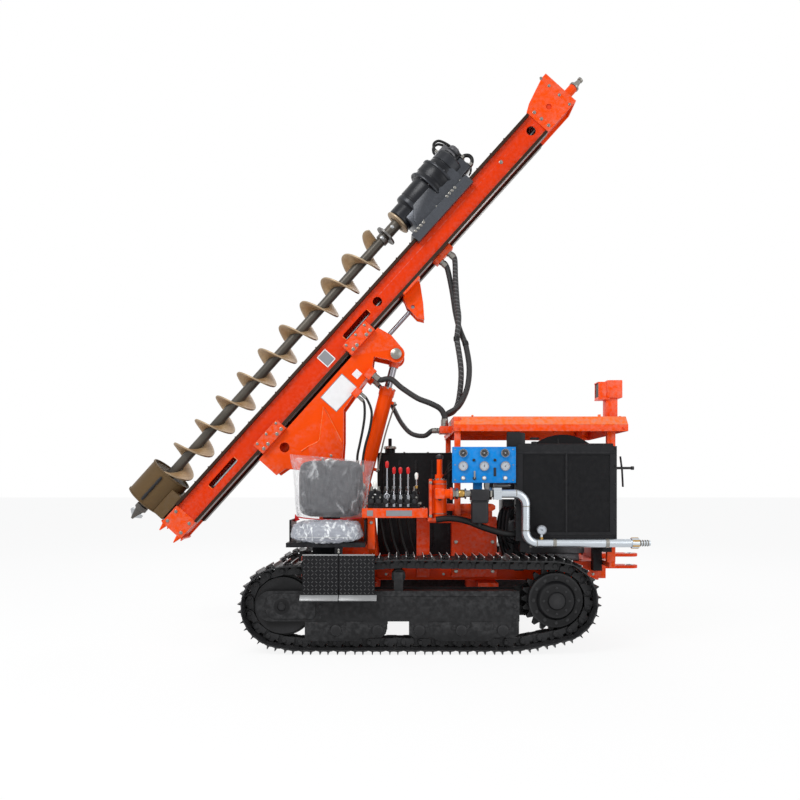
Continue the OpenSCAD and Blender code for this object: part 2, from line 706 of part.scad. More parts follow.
module valve_bank() {
  color("#222325") {
    box([-100, -580, 936], [250, -460, 1030]);
    for (k = [0 : 6]) box([-92 + k * 48, -575, 1030], [-56 + k * 48, -470, 1060]);
  }
}
lever_x = [-20, 34, 78, 124];
lever_top = [1210, 1165, 1165, 1165];
module control_levers() {
  for (k = [0 : 3]) {
    color("#c4c6c9") bar_z(lever_x[k], -520, 7, 1030, lever_top[k]);
    color("#c0262a") bar_z(lever_x[k], -520, 13, lever_top[k], lever_top[k] + 60);
  }
}
module oiler() {
  color("#ee4a10") {
    bar_z(380, -560, 48, 872, 1120);
    bar_z(380, -560, 30, 1120, 1160);
    bar_z(380, -560, 18, 1160, 1260);
    box([310, -620, 860], [326, -500, 1130]);
    box([326, -590, 900], [380, -530, 1090]);
    bar_x(-560, 1034, 30, 380, 460);
    box([301, -600, 850], [470, -frame_half - 90, 872]);
  }
}
pipe_y = -700;
pipe_high = 1034;
pipe_low = 714;
pipe_down_x = 931;
pipe_bend = 75;
pipe_start = 760;
pipe_end = 1617;
module elbow() {
  rotate([90, 0, 0]) rotate_extrude(angle = 90) translate([pipe_bend, 0]) circle(r = pipe_r + 2);
}
module air_pipe() {
  color("#b9bfc4") {
    bar_x(pipe_y, pipe_high, pipe_r, pipe_start, pipe_down_x - pipe_bend + 3);
    translate([pipe_down_x - pipe_bend, pipe_y, pipe_high - pipe_bend]) elbow();
    bar_z(pipe_down_x, pipe_y, pipe_r, pipe_low + pipe_bend - 3, pipe_high - pipe_bend + 3);
    translate([pipe_down_x + pipe_bend, pipe_y, pipe_low + pipe_bend]) rotate([0, 180, 0]) elbow();
    bar_x(pipe_y, pipe_low, pipe_r, pipe_down_x + pipe_bend - 3, pipe_end);
    bar_x(pipe_y, pipe_low, 34, pipe_end - 5, pipe_end + 42);
    bar_x(pipe_y, pipe_low, 19, pipe_end + 42, pipe_end + 116);
    bar_z(1032, pipe_y, 9, pipe_low, 790);
    bar_y(1032, 800, 31, pipe_y - 16, pipe_y + 16);
    box([pipe_start - 40, pipe_y - 38, pipe_high - 38], [pipe_start + 10, pipe_y + 38, pipe_high + 38]);
    for (x = [1100, 1440]) box([x, pipe_y, pipe_low - 20], [x + 30, cooler_y, pipe_low + 20]);
  }
}
module air_filter() {
  color("#1d1e20") {
    box([547, -740, 832], [702, -610, 1060]);
    bar_x(pipe_y, pipe_high, 24, 702, 720);
    bar_x(-675, pipe_high, 22, 500, 547);
  }
}
module oil_tank() {
  color("#1e1f21") {
    box([-56, 170, frame_top], [522, 345, 1336]);
    bar_z(40, 260, 40, 1336, 1366);
    bar_z(40, 260, 14, 1366, 1450);
  }
}
seat_x = -360;
module seat_cushion() {
  color("#9fa3a8") box([seat_x - seat_w / 2, -790, 720], [seat_x + seat_w / 2, -420, 850]);
}
module seat_back() {
  color("#55585c") box([seat_x - seat_w / 2 + 8, -410, 860], [seat_x + seat_w / 2 - 8, -320, 1270]);
}
module seat_frame() {
  color("#1f2022") {
    box([seat_x - 254, -750, 690], [seat_x + 254, -305, 719.7]);
    box([seat_x - 120, -440, frame_top + 40], [seat_x + 60, -frame_half - 10, 690]);
    both_sides_x() box([seat_x + seat_w / 2 + 0.3, -600, 690], [seat_x + seat_w / 2 + 14, -340, 860]);
    box([seat_x - 60, -320 + 0.3, 690], [seat_x + 60, -305, 1000]);
  }
}
module both_sides_x() {
  children();
  translate([2 * seat_x, 0, 0]) mirror([1, 0, 0]) children();
}
module seat_wrap() {
  color("#d9dde0") difference() {
    box([seat_x - 300, -418, 865], [seat_x + 300, -300, 1276]);
    box([seat_x - 294, -414, 864], [seat_x + 294, -304, 1270 + seat_gap]);
  }
}
module foot_plates() {
  color("#3a3b3e") {
    for (x = [-506, -272]) {
      box([x, -764, 352], [x + 228, -758, 646]);
      box([x, -795, 346], [x + 228, -758, 352]);
    }
    box([-300, -758, 420], [-250, -752, 690]);
    box([-300, -758, 678], [-250, -700, 690]);
  }
}
clevis_z = [490, 576];
module tow_clevis() {
  color("#d8400f") {
    box([frame_rear_x, -130, 440], [frame_rear_x + 20, 130, 640]);
    difference() {
      for (z = clevis_z) {
        box([frame_rear_x + 20, -60, z - 11], [1810, 60, z + 11]);
        bar_z(1810, 0, 60, z - 11, z + 11);
      }
      bar_z(1810, 0, 17, 450, 620);
    }
    box([frame_rear_x + 20, -40, clevis_z[0] + 11], [1690, 40, clevis_z[1] - 11]);
  }
}

// Free hoses: radius, then the points that each follows from its upper gland to its lower one
manifold_b = 400;
saddle_gland_b = 200;
thin_gland_b = 180;
stand_glands = [[-190, 1215], [-150, 1185]];
function lean_xyz(a, y, b) = [
  pivot_x + a * cos(mast_lean) - b * sin(mast_lean), y, pivot_z + a * sin(mast_lean) + b * cos(mast_lean)
];
function leave(a, y, b) = [lean_xyz(a, y, b - pin_gap), lean_xyz(a, y, b - 55)];
hoses = [
  [20, concat(leave(1650, -33, manifold_b), [
    [498, -50, 2520], [520, -90, 2350], [545, -140, 2220], [585, -190, 2100], [608, -230, 1930],
    [590, -260, 1770], [530, -270, 1645], [450, -270, 1590], [430, -270, 1550], [430, -270, block_z]
  ])],
  [20, concat(leave(1735, -33, manifold_b), [
    [522, -75, 2600], [530, -130, 2400], [537, -185, 2280], [520, -215, 2130], [550, -235, 1900],
    [535, -225, 1700], [500, -225, 1615], [445, -222, 1585], [430, -220, 1550], [430, -220, block_z]
  ])],
  [20, concat(leave(690, -138, saddle_gland_b), [
    [50, -170, 1850], [130, -220, 1780], [240, -280, 1700], [330, -315, 1660], [400, -315, 1620],
    [430, -315, 1560], [430, -315, block_z]
  ])],
  [17, concat(leave(680, 138, saddle_gland_b), [
    [10, 120, 1780], [70, 60, 1660], [130, -60, 1540], [200, -150, 1460], [290, -210, 1440],
    [345, -240, 1475], [block_x, -240, 1475]
  ])],
  [9, concat(leave(500, -134, thin_gland_b), [
    [-138, -136, 1600], [-150, -137, 1500], [-172, -138, 1390], [-190, -138, 1300], [-190, gland_y, stand_glands[0][1]]
  ])],
  [9, concat(leave(530, -134, thin_gland_b), [
    [-88, -136, 1620], [-100, -137, 1500], [-132, -138, 1380], [-150, -138, 1280], [-150, gland_y, stand_glands[1][1]]
  ])]
];
hose_sides = 8;
// Route with one more point between each two, on a smooth curve through them
function route_mid(p, i) =
  let (a = p[max(i - 1, 0)], d = p[min(i + 2, len(p) - 1)])
  i == 0 || i == len(p) - 2 ? (p[i] + p[i + 1]) / 2 : (9 * (p[i] + p[i + 1]) - a - d) / 16;
function route_fine(p) = concat([for (i = [0 : len(p) - 2], q = [p[i], route_mid(p, i)]) q], [p[len(p) - 1]]);
function heading(p, i) = let (v = p[min(i + 1, len(p) - 1)] - p[max(i - 1, 0)]) v / norm(v);
function hose_ring(c, v, r) =
  let (e = cross([0, 1, 0], v), f = e / norm(e), g = cross(v, f))
  [for (j = [0 : hose_sides - 1]) c + r * (cos(j * 360 / hose_sides) * f + sin(j * 360 / hose_sides) * g)];
module free_hose(k) {
  r = hoses[k][0];
  p = route_fine(hoses[k][1]);
  n = len(p) - 1;
  points = [for (i = [0 : n], q = hose_ring(p[i], heading(p, i), r)) q];
  color("#1c1c1e") polyhedron(points, concat(
    ring_fan(0, hose_sides, false), ring_sides_out(n, hose_sides), ring_fan(hose_sides * n, hose_sides, true)
  ));
}
function ring_sides_out(n, m) = [for (f = ring_sides(n, m)) [f[0], f[2], f[1]]];

module left() { translate([0, -track_gauge / 2, 0]) children(); }
module right() { translate([0, track_gauge / 2, 0]) mirror([0, 1, 0]) children(); }

left() track();  // track_left
right() track();  // track_right
union() { left() track_frame(); right() track_frame(); }  // track_frames
union() { left() sprocket(); right() sprocket(); }  // sprockets
union() { left() idler(); right() idler(); }  // idlers
union() { left() rollers(); right() rollers(); }
chassis_frame();
union() { pivot_stand(); }
engine_block();
union() { cooler(); fan_shroud(); }
union() { canopy(); hose_block(); }
exhaust_stack();
gauge_panel();
console();
union() { valve_bank(); control_levers(); }
oiler();
air_pipe();
air_filter();
oil_tank();
seat_cushion();
seat_back();
seat_frame();
seat_wrap();
foot_plates();
tow_clevis();
saddle();
slide_clamps();
slide_barrel();
lift_barrel();
lift_rod();
mast_beam();
mast_rails();
union() { mast_head(); hose_manifold(); }
mast_foot();
guide_casing();
slide_bracket();
slide_rod();
feed_cylinder();
head_carriage();
rotary_head();
head_hoses();
auger_shaft();
auger_flight();
free_hose(0);  // hose_a
free_hose(1);  // hose_b
free_hose(2);  // hose_c
free_hose(3);  // hose_d
free_hose(4);  // hose_e
free_hose(5);  // hose_f
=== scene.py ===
"""Looks of a crawler pile driver rig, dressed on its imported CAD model."""

import logging
import math
from dataclasses import dataclass
from enum import Enum
from typing import Callable, Iterable, Sequence, Union

import bmesh
import bpy
from mathutils import Matrix, Vector


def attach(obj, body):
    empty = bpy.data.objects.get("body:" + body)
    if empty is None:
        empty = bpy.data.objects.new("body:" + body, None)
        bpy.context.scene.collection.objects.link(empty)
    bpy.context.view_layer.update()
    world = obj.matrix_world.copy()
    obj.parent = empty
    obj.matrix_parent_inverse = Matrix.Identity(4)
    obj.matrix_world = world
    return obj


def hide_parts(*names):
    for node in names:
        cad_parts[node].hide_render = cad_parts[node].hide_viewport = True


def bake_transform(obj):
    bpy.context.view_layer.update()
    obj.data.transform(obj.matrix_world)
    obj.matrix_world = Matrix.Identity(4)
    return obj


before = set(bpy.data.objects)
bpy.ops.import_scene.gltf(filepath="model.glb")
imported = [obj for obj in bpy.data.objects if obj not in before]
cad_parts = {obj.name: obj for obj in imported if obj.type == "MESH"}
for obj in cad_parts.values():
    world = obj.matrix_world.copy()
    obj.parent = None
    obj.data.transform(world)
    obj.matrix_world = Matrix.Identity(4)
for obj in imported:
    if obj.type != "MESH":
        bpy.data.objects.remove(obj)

LOG = logging.getLogger("rig")
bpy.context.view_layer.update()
Point = tuple[float, float, float]
Colour = tuple[float, float, float]
ORIGIN: Point = (0.0, 0.0, 0.0)
AHEAD: Point = (1.0, 0.0, 0.0)
BACK: Point = (-1.0, 0.0, 0.0)
FAR: Point = (0.0, 1.0, 0.0)
NEAR: Point = (0.0, -1.0, 0.0)
UP: Point = (0.0, 0.0, 1.0)


class Body(Enum):
    """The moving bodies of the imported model."""

    CHASSIS = "chassis"
    SADDLE = "saddle"
    MAST = "mast"
    HEAD = "head"
    AUGER = "auger"
    LIFT_BARREL = "lift_barrel"
    LIFT_ROD = "lift_rod"


def srgb(red: int, green: int, blue: int) -> Colour:
    """Return the linear colour of three sRGB bytes."""
    shares = (red / 255, green / 255, blue / 255)
    return tuple(c / 12.92 if c <= 0.04045 else ((c + 0.055) / 1.055) ** 2.4 for c in shares)


# Node trees


class Wire:
    """A socket of a node tree whose arithmetic adds Math nodes."""

    def __init__(self, tree: "Tree", socket: bpy.types.NodeSocket) -> None:
        """Keep the tree and the output socket that this wire starts from."""
        self.tree = tree
        self.socket = socket

    def _math(self, operation: str, first: "Value", second: "Value") -> "Wire":
        """Return the wire of a new Math node."""
        return self.tree.add("ShaderNodeMath", {0: first, 1: second}, operation=operation)[0]

    def __add__(self, other: "Value") -> "Wire":
        """Return this wire plus a value."""
        return self._math("ADD", self, other)

    def __radd__(self, other: "Value") -> "Wire":
        """Return a value plus this wire."""
        return self._math("ADD", other, self)

    def __sub__(self, other: "Value") -> "Wire":
        """Return this wire less a value."""
        return self._math("SUBTRACT", self, other)

    def __rsub__(self, other: "Value") -> "Wire":
        """Return a value less this wire."""
        return self._math("SUBTRACT", other, self)

    def __mul__(self, other: "Value") -> "Wire":
        """Return this wire times a value."""
        return self._math("MULTIPLY", self, other)

    def __rmul__(self, other: "Value") -> "Wire":
        """Return a value times this wire."""
        return self._math("MULTIPLY", other, self)

    def __truediv__(self, other: "Value") -> "Wire":
        """Return this wire over a value."""
        return self._math("DIVIDE", self, other)

    def __pow__(self, other: "Value") -> "Wire":
        """Return this wire to a power."""
        return self._math("POWER", self, other)

    def __gt__(self, other: "Value") -> "Wire":
        """Return 1 where this wire is over a value, and 0 elsewhere."""
        return self._math("GREATER_THAN", self, other)

    def wave(self) -> "Wire":
        """Return the sine of this wire."""
        return self._math("SINE", self, 0.0)

    def held(self) -> "Wire":
        """Return this wire held between 0 and 1."""
        return self.tree.add("ShaderNodeClamp", {"Value": self})[0]


Value = Union[Wire, float, int, Sequence[float]]


class Made:
    """A node that was added to a tree, whose outputs are wires."""

    def __init__(self, tree: "Tree", node: bpy.types.Node) -> None:
        """Keep the tree and the node."""
        self.tree = tree
        self.node = node

    def __getitem__(self, key: Union[int, str]) -> Wire:
        """Return the wire of one output, by its place or its name."""
        return Wire(self.tree, self.node.outputs[key])


class Tree:
    """A shader or geometry tree that is written as expressions."""

    def __init__(self, nodes: bpy.types.NodeTree) -> None:
        """Keep Blender's own tree."""
        self.nodes = nodes

    def add(self, kind: str, sockets: Union[dict[Union[int, str], object], None] = None, **settings: object) -> Made:
        """Add one node.

        Args:
            kind: Blender's name of the node's type.
            sockets: Values or wires for its inputs, by place or name.
            **settings: The node's own properties.

        Returns:
            The node, whose outputs are read by place or name.
        """
        node = self.nodes.nodes.new(kind)
        for name, value in settings.items():
            setattr(node, name, value)
        for key, value in (sockets or {}).items():
            if isinstance(value, Wire):
                self.nodes.links.new(value.socket, node.inputs[key])
            else:
                node.inputs[key].default_value = value
        return Made(self, node)

    def shader(self, sockets: dict[Union[int, str], object]) -> Wire:
        """Return the wire of a Principled shader with some inputs set."""
        return self.add("ShaderNodeBsdfPrincipled", sockets)[0]

    def mix(self, share: Value, first: object, second: object) -> Wire:
        """Return the colour between two colours.

        Args:
            share: 0 for the first colour, 1 for the second.
            first: A colour or its wire.
            second: A colour or its wire.

        Returns:
            The mixed colour's wire.
        """
        full = [c if isinstance(c, Wire) else (*c, 1.0) for c in (first, second)]
        node = self.add("ShaderNodeMix", {0: share, 6: full[0], 7: full[1]}, data_type="RGBA")
        return node[2]


# Finishes


@dataclass(frozen=True)
class Finish:
    """A surface finish that is read in the object's own coordinates."""

    name: str
    slot: str
    colour: Colour

    def material(self) -> bpy.types.Material:
        """Return the finish's material, which is built once."""
        found = bpy.data.materials.get("look_" + self.name)
        if found:
            return found
        material = bpy.data.materials.new("look_" + self.name)
        material.use_nodes = True
        tree = Tree(material.node_tree)
        material.node_tree.nodes.clear()
        surface = self.surface(tree)
        tree.add("ShaderNodeOutputMaterial", {"Surface": surface})
        material.diffuse_color = (*self.colour, 1.0)
        return material

    def surface(self, tree: Tree) -> Wire:
        """Return the wire of the finish's shader."""
        raise NotImplementedError

    def place(self, tree: Tree, scale: Point = (1.0, 1.0, 1.0), turn: Point = ORIGIN) -> Wire:
        """Return object coordinates, stretched and turned.

        Args:
            tree: The tree to add to.
            scale: The stretch along each axis.
            turn: The turn about each axis, in radians.

        Returns:
            The coordinates' wire.
        """
        spot = tree.add("ShaderNodeTexCoord")["Object"]
        return tree.add("ShaderNodeMapping", {"Vector": spot, "Rotation": turn, "Scale": scale})[0]

    def noise(self, tree: Tree, spot: Wire, scale: float, detail: float = 3.0) -> Wire:
        """Return a noise between 0 and 1 at a scale per metre."""
        return tree.add("ShaderNodeTexNoise", {"Vector": spot, "Scale": scale, "Detail": detail})[0]

    def ridge(self, tree: Tree, low: float = 0.52, high: float = 0.6) -> Wire:
        """Return 1 on outer edges and 0 on flats and in hollows."""
        point = tree.add("ShaderNodeNewGeometry")["Pointiness"]
        ranged = tree.add("ShaderNodeMapRange", {0: point, 1: low, 2: high, 3: 0.0, 4: 1.0})
        return ranged[0]

    def bump(self, tree: Tree, height: Wire, strength: float, reach: float = 0.001) -> Wire:
        """Return the normal of a surface raised by a height."""
        return tree.add("ShaderNodeBump", {"Strength": strength, "Distance": reach, "Height": height})[0]


@dataclass(frozen=True)
class Paint(Finish):
    """Sprayed gloss paint with a fine peel, dust and rubbed edges."""

    gloss: float = 0.32
    shade: float = 0.88
    wear: float = 0.35
    worn: Colour = (0.42, 0.40, 0.38)
    coat: float = 0.12
    shine: float = 0.16

    def surface(self, tree: Tree) -> Wire:
        """Return painted metal's shader."""
        spot = self.place(tree)
        cloud = self.noise(tree, spot, 3.5, 4.0)
        speck = self.noise(tree, spot, 38.0, 5.0)
        peel = self.noise(tree, spot, 420.0, 1.0)
        low = tuple(c * self.shade for c in self.colour)
        base = tree.mix(((cloud - 0.35) * 1.9).held(), low, self.colour)
        dust = ((speck - 0.60) * 4.0).held() * 0.05
        base = tree.mix(dust, base, tuple(0.55 * c + 0.05 for c in self.colour))
        rubbed = (self.ridge(tree) * ((speck - 0.38) * 3.0).held() * self.wear).held()
        base = tree.mix(rubbed, base, self.worn)
        rough = self.gloss + speck * 0.14 + dust * 0.8
        return tree.shader({
            "Base Color": base, "Roughness": rough, "Metallic": rubbed * 0.6,
            "Coat Weight": self.coat, "Coat Roughness": 0.16, "Specular IOR Level": self.shine,
            "Specular Tint": (*(min(1.0, 0.25 + c) for c in self.colour), 1.0),
            "Normal": self.bump(tree, peel + speck * 0.8, 0.09),
        })


@dataclass(frozen=True)
class Cast(Finish):
    """Cast or forged iron under thin dark paint, polished where it rubs."""

    rough: float = 0.46
    grain: float = 90.0
    bare: Colour = (0.30, 0.30, 0.31)
    rub: float = 0.55
    metal: float = 0.25

    def surface(self, tree: Tree) -> Wire:
        """Return cast iron's shader."""
        spot = self.place(tree)
        cloud = self.noise(tree, spot, 6.0, 4.0)
        grain = self.noise(tree, spot, self.grain, 6.0)
        light = tuple(min(1.0, c * 1.7 + 0.006) for c in self.colour)
        base = tree.mix(((cloud - 0.4) * 2.2).held(), self.colour, light)
        rubbed = (self.ridge(tree, 0.515, 0.57) * (0.4 + grain) * self.rub).held()
        base = tree.mix(rubbed, base, self.bare)
        return tree.shader({
            "Base Color": base, "Roughness": self.rough - rubbed * 0.16 + (cloud - 0.5) * 0.2,
            "Metallic": (rubbed * 0.6 + self.metal).held(), "Specular IOR Level": 0.25,
            "Normal": self.bump(tree, grain, 0.35, 0.0012),
        })


@dataclass(frozen=True)
class Steel(Finish):
    """Bare steel with drawn or turned lines along one axis."""

    rough: float = 0.24
    stretch: Point = (14.0, 300.0, 300.0)
    turn: float = 0.0
    tint: float = 0.25

    def surface(self, tree: Tree) -> Wire:
        """Return bare steel's shader."""
        lines = self.noise(tree, self.place(tree, self.stretch, (0.0, self.turn, 0.0)), 1.0, 3.0)
        cloud = self.noise(tree, self.place(tree), 9.0, 4.0)
        dim = tuple(c * (1.0 - self.tint) for c in self.colour)
        base = tree.mix((lines * 0.6 + cloud * 0.4).held(), dim, self.colour)
        return tree.shader({
            "Base Color": base, "Roughness": self.rough + (lines - 0.5) * 0.18 + (cloud - 0.5) * 0.1,
            "Metallic": 0.92, "Normal": self.bump(tree, lines, 0.05),
        })


@dataclass(frozen=True)
class Moulded(Finish):
    """Moulded plastic or rubber with a fine leather grain."""

    rough: float = 0.5
    grain: float = 260.0

    def surface(self, tree: Tree) -> Wire:
        """Return moulded plastic's shader."""
        spot = self.place(tree)
        cells = tree.add("ShaderNodeTexVoronoi", {"Vector": spot, "Scale": self.grain})["Distance"]
        cloud = self.noise(tree, spot, 12.0, 4.0)
        light = tuple(min(1.0, c * 1.35 + 0.004) for c in self.colour)
        base = tree.mix(((cloud - 0.4) * 2.0).held(), self.colour, light)
        return tree.shader({
            "Base Color": base, "Roughness": self.rough + (cloud - 0.5) * 0.16,
            "Specular IOR Level": 0.3, "Normal": self.bump(tree, cells, 0.12, 0.0006),
        })


@dataclass(frozen=True)
class Sleeve(Finish):
    """Woven nylon sleeve over a hose, whose braid follows the hose."""

    light: Colour = (0.09, 0.09, 0.095)
    cord: float = 0.0042
    spiral: float = 0.0

    def surface(self, tree: Tree) -> Wire:
        """Return the sleeve's shader."""
        flat = tree.add("ShaderNodeUVMap", uv_map="along")[0]
        parts = tree.add("ShaderNodeSeparateXYZ", {0: flat})
        turn = math.tau / self.cord
        rise = ((parts[0] + parts[1]) * turn).wave()
        fall = ((parts[0] - parts[1]) * turn).wave()
        weave = (rise * fall * 0.5 + 0.5).held()
        mottle = self.noise(tree, self.place(tree), 22.0, 4.0)
        base = tree.mix((weave * 0.7 + (mottle - 0.5)).held(), self.colour, self.light)
        if self.spiral > 0.0:
            band = (((parts[0] + parts[1] * 0.35) * (math.tau / self.spiral)).wave() > 0.72) * 0.55
            base = tree.mix(band, base, (0.16, 0.16, 0.165))
        return tree.shader({
            "Base Color": base, "Roughness": 0.52 + (mottle - 0.5) * 0.2, "Sheen Weight": 0.05,
            "Normal": self.bump(tree, weave + mottle * 0.6, 0.4, 0.0015),
        })


@dataclass(frozen=True)
class Cloth(Finish):
    """Woven seat cloth."""

    thread: float = 0.0028
    light: Colour = (0.16, 0.17, 0.19)

    def surface(self, tree: Tree) -> Wire:
        """Return the seat cloth's shader."""
        parts = tree.add("ShaderNodeSeparateXYZ", {0: self.place(tree)})
        turn = math.tau / self.thread
        warp = (parts[0] * turn).wave()
        weft = ((parts[1] + parts[2]) * turn).wave()
        weave = (warp * weft * 0.5 + 0.5).held()
        cloud = self.noise(tree, self.place(tree), 16.0, 5.0)
        base = tree.mix((weave * 0.6 + (cloud - 0.45) * 1.2).held(), self.colour, self.light)
        return tree.shader({
            "Base Color": base, "Roughness": 0.86 - weave * 0.1, "Sheen Weight": 0.35,
            "Normal": self.bump(tree, weave + cloud, 0.3, 0.0012),
        })


@dataclass(frozen=True)
class Film(Finish):
    """Loose clear packing film that catches the light on its creases."""

    veil: float = 0.30
    crease: float = 9.0

    def surface(self, tree: Tree) -> Wire:
        """Return the film's shader."""
        spot = self.place(tree, (1.0, 1.0, 0.55), (0.3, 0.5, 0.2))
        folds = tree.add("ShaderNodeTexNoise", {
            "Vector": spot, "Scale": self.crease, "Detail": 7.0, "Distortion": 1.6,
        })[0]
        fine = self.noise(tree, spot, 46.0, 5.0)
        lit = ((folds - 0.55) * 8.0).held()
        alpha = (self.veil + lit * 0.26 + (fine - 0.5) * 0.2).held()
        return tree.shader({
            "Base Color": tree.mix(lit, self.colour, (0.93, 0.95, 0.97)), "Alpha": alpha,
            "Roughness": 0.16 + fine * 0.15, "Normal": self.bump(tree, folds + fine * 0.35, 0.9, 0.012),
        })


@dataclass(frozen=True)
class Auger(Finish):
    """Tan primer on the flight, worn to steel at its rim."""

    rim: Colour = (0.36, 0.30, 0.22)

    def surface(self, tree: Tree) -> Wire:
        """Return the flight's shader."""
        spot = self.place(tree)
        cloud = self.noise(tree, spot, 7.0, 6.0)
        streak = self.noise(tree, self.place(tree, (3.0, 3.0, 40.0), (0.0, 0.73, 0.0)), 4.0, 5.0)
        base = tree.mix(((cloud - 0.35) * 2.0).held(), self.colour, (0.50, 0.36, 0.20))
        base = tree.mix(((streak - 0.5) * 2.4).held() * 0.6, base, (0.20, 0.13, 0.075))
        rubbed = self.ridge(tree, 0.51, 0.56)
        base = tree.mix(rubbed * 0.7, base, self.rim)
        return tree.shader({
            "Base Color": base, "Roughness": 0.46 + streak * 0.25 - rubbed * 0.12,
            "Metallic": rubbed * 0.5 + 0.12, "Normal": self.bump(tree, streak + cloud, 0.3, 0.0015),
        })


@dataclass(frozen=True)
class Printed(Finish):
    """A blank printed plate or dial face, evenly pale with a little soil."""

    rough: float = 0.4
    soil: float = 0.86

    def surface(self, tree: Tree) -> Wire:
        """Return the plate's shader."""
        cloud = self.noise(tree, self.place(tree), 30.0, 5.0)
        dim = tuple(c * self.soil for c in self.colour)
        return tree.shader({
            "Base Color": tree.mix(cloud, dim, self.colour), "Roughness": self.rough + (cloud - 0.5) * 0.2,
            "Coat Weight": 0.3, "Normal": self.bump(tree, cloud, 0.05),
        })


class Look:
    """Every finish of the rig."""

    ORANGE = Paint("orange", "orange_paint", srgb(240, 74, 0))
    # A darker copy of the orange paint: painted shade on the chassis frame, the tow clevis and the roof's bolts.
    ORANGE_DEEP = Paint("orange_deep", "orange_paint", srgb(232, 62, 0), gloss=0.4)
    # A paler copy of the orange paint: painted highlight on the roof's slope, the saddle's ridges and the mast's rims
    # and tabs.
    ORANGE_PALE = Paint("orange_pale", "orange_paint", srgb(252, 112, 38), gloss=0.3, shine=0.3)
    # A darker copy of the orange paint for the mast's beam: painted shade over its recessed web.
    ORANGE_MAST = Paint("orange_mast", "orange_paint", srgb(222, 54, 0))
    BLACK = Paint("black", "black_paint", srgb(28, 28, 30), wear=0.3, worn=(0.09, 0.09, 0.095))
    BLUE = Paint("blue", "blue_paint", srgb(12, 132, 214), wear=0.1)
    KHAKI = Paint("khaki", "khaki_paint", srgb(96, 76, 50), gloss=0.5, wear=0.5, worn=(0.14, 0.10, 0.07))
    TRACK = Cast("track", "track_iron", srgb(11, 11, 13), metal=0.05, rub=0.2, bare=(0.12, 0.12, 0.125))
    # Pale bare steel on the grousers' tips: partly real wear, partly a painted highlight along their lit top edges.
    TIP = Cast("tip", "track_iron", srgb(208, 208, 206), metal=0.3, rub=0.6, bare=(0.8, 0.8, 0.8))
    STUD = Cast("stud", "black_paint", srgb(50, 50, 52), metal=0.1, rub=0.5, bare=(0.12, 0.12, 0.12))
    LIP = Cast("lip", "bright_steel", srgb(112, 114, 116), rough=0.4, metal=0.4, rub=0.5, bare=(0.5, 0.5, 0.5))
    CORE = Paint("core", "black_paint", srgb(37, 37, 39), gloss=0.5, wear=0.1, worn=(0.1, 0.1, 0.1))
    FRAME = Paint("frame", "track_iron", srgb(38, 38, 39), gloss=0.4, shade=0.9, wear=0.4, worn=(0.16, 0.16, 0.165))
    CHAIN = Cast("chain", "track_iron", srgb(46, 44, 42), rough=0.4, rub=0.7, metal=0.5)
    SHAFT = Cast("shaft", "engine_metal", srgb(74, 70, 64), rough=0.4, metal=0.4)
    ENGINE = Cast("engine", "engine_metal", srgb(26, 27, 30), rough=0.42, metal=0.15, bare=(0.2, 0.2, 0.21))
    HEAD = Cast("head", "black_paint", srgb(15, 17, 22), rough=0.32, rub=0.5, bare=(0.13, 0.14, 0.16), metal=0.1)
    RAIL = Steel("rail", "rail_steel", srgb(66, 50, 42), rough=0.36, turn=0.838, tint=0.4)
    STEEL = Steel("steel", "bright_steel", srgb(190, 193, 196))
    CHROME = Steel("chrome", "chrome_rod", srgb(150, 148, 154), rough=0.16, turn=0.838, tint=0.4)
    CHROME_UP = Steel("chrome_up", "bright_steel", srgb(166, 168, 174), rough=0.2, stretch=(300.0, 300.0, 14.0),
                      tint=0.4)
    ZINC = Steel("zinc", "bright_steel", srgb(158, 156, 150), rough=0.3, stretch=(60.0, 60.0, 60.0), tint=0.45)
    BRASS = Steel("brass", "bright_steel", srgb(196, 156, 84), rough=0.28, stretch=(60.0, 60.0, 60.0), tint=0.4)
    PIPE = Steel("pipe", "pipe_grey", srgb(204, 211, 218), rough=0.3, stretch=(12.0, 160.0, 160.0))
    TAN = Auger("tan", "auger_tan", srgb(150, 112, 68))
    RUBBER = Moulded("rubber", "black_plastic", srgb(9, 9, 10))
    PLASTIC = Moulded("plastic", "black_plastic", srgb(29, 29, 32), rough=0.4)
    RED = Moulded("red", "black_plastic", srgb(190, 20, 22), rough=0.35)
    IVORY = Moulded("ivory", "black_plastic", srgb(226, 226, 220), rough=0.34)
    SLEEVE = Sleeve("sleeve", "hose_sleeve", srgb(6, 6, 7), light=(0.010, 0.010, 0.011))
    SPIRAL = Sleeve("spiral", "hose_sleeve", srgb(6, 6, 7), light=(0.018, 0.018, 0.019), spiral=0.03)
    CLOTH = Cloth("cloth", "seat_cloth", srgb(52, 53, 56), light=(0.085, 0.085, 0.09))
    FILM = Film("film", "clear_wrap", srgb(214, 214, 218), veil=0.14)
    FILM_TIGHT = Film("film_tight", "clear_wrap", srgb(190, 194, 204), veil=0.62, crease=24.0)
    WHITE = Printed("white", "bright_steel", srgb(232, 232, 233))
    GREY = Printed("grey", "bright_steel", srgb(132, 134, 138))
    DARK_DIAL = Printed("dark_dial", "black_plastic", srgb(26, 28, 32))
    PALE_DIAL = Printed("pale_dial", "bright_steel", srgb(176, 182, 190))


# Places and meshes


@dataclass(frozen=True)
class Place:
    """A right-handed set of axes: along, across and up from an origin."""

    origin: Point
    along: Point
    across: Point
    up: Point

    def matrix(self) -> Matrix:
        """Return the matrix from this place to the machine's frame."""
        rows = [(*axes, spot) for axes, spot in zip(zip(self.along, self.across, self.up), self.origin)]
        return Matrix([*rows, (0.0, 0.0, 0.0, 1.0)])

    def point(self, along: float, across: float, up: float) -> Point:
        """Return one point of this place in the machine's frame."""
        return tuple(self.matrix() @ Vector((along, across, up)))


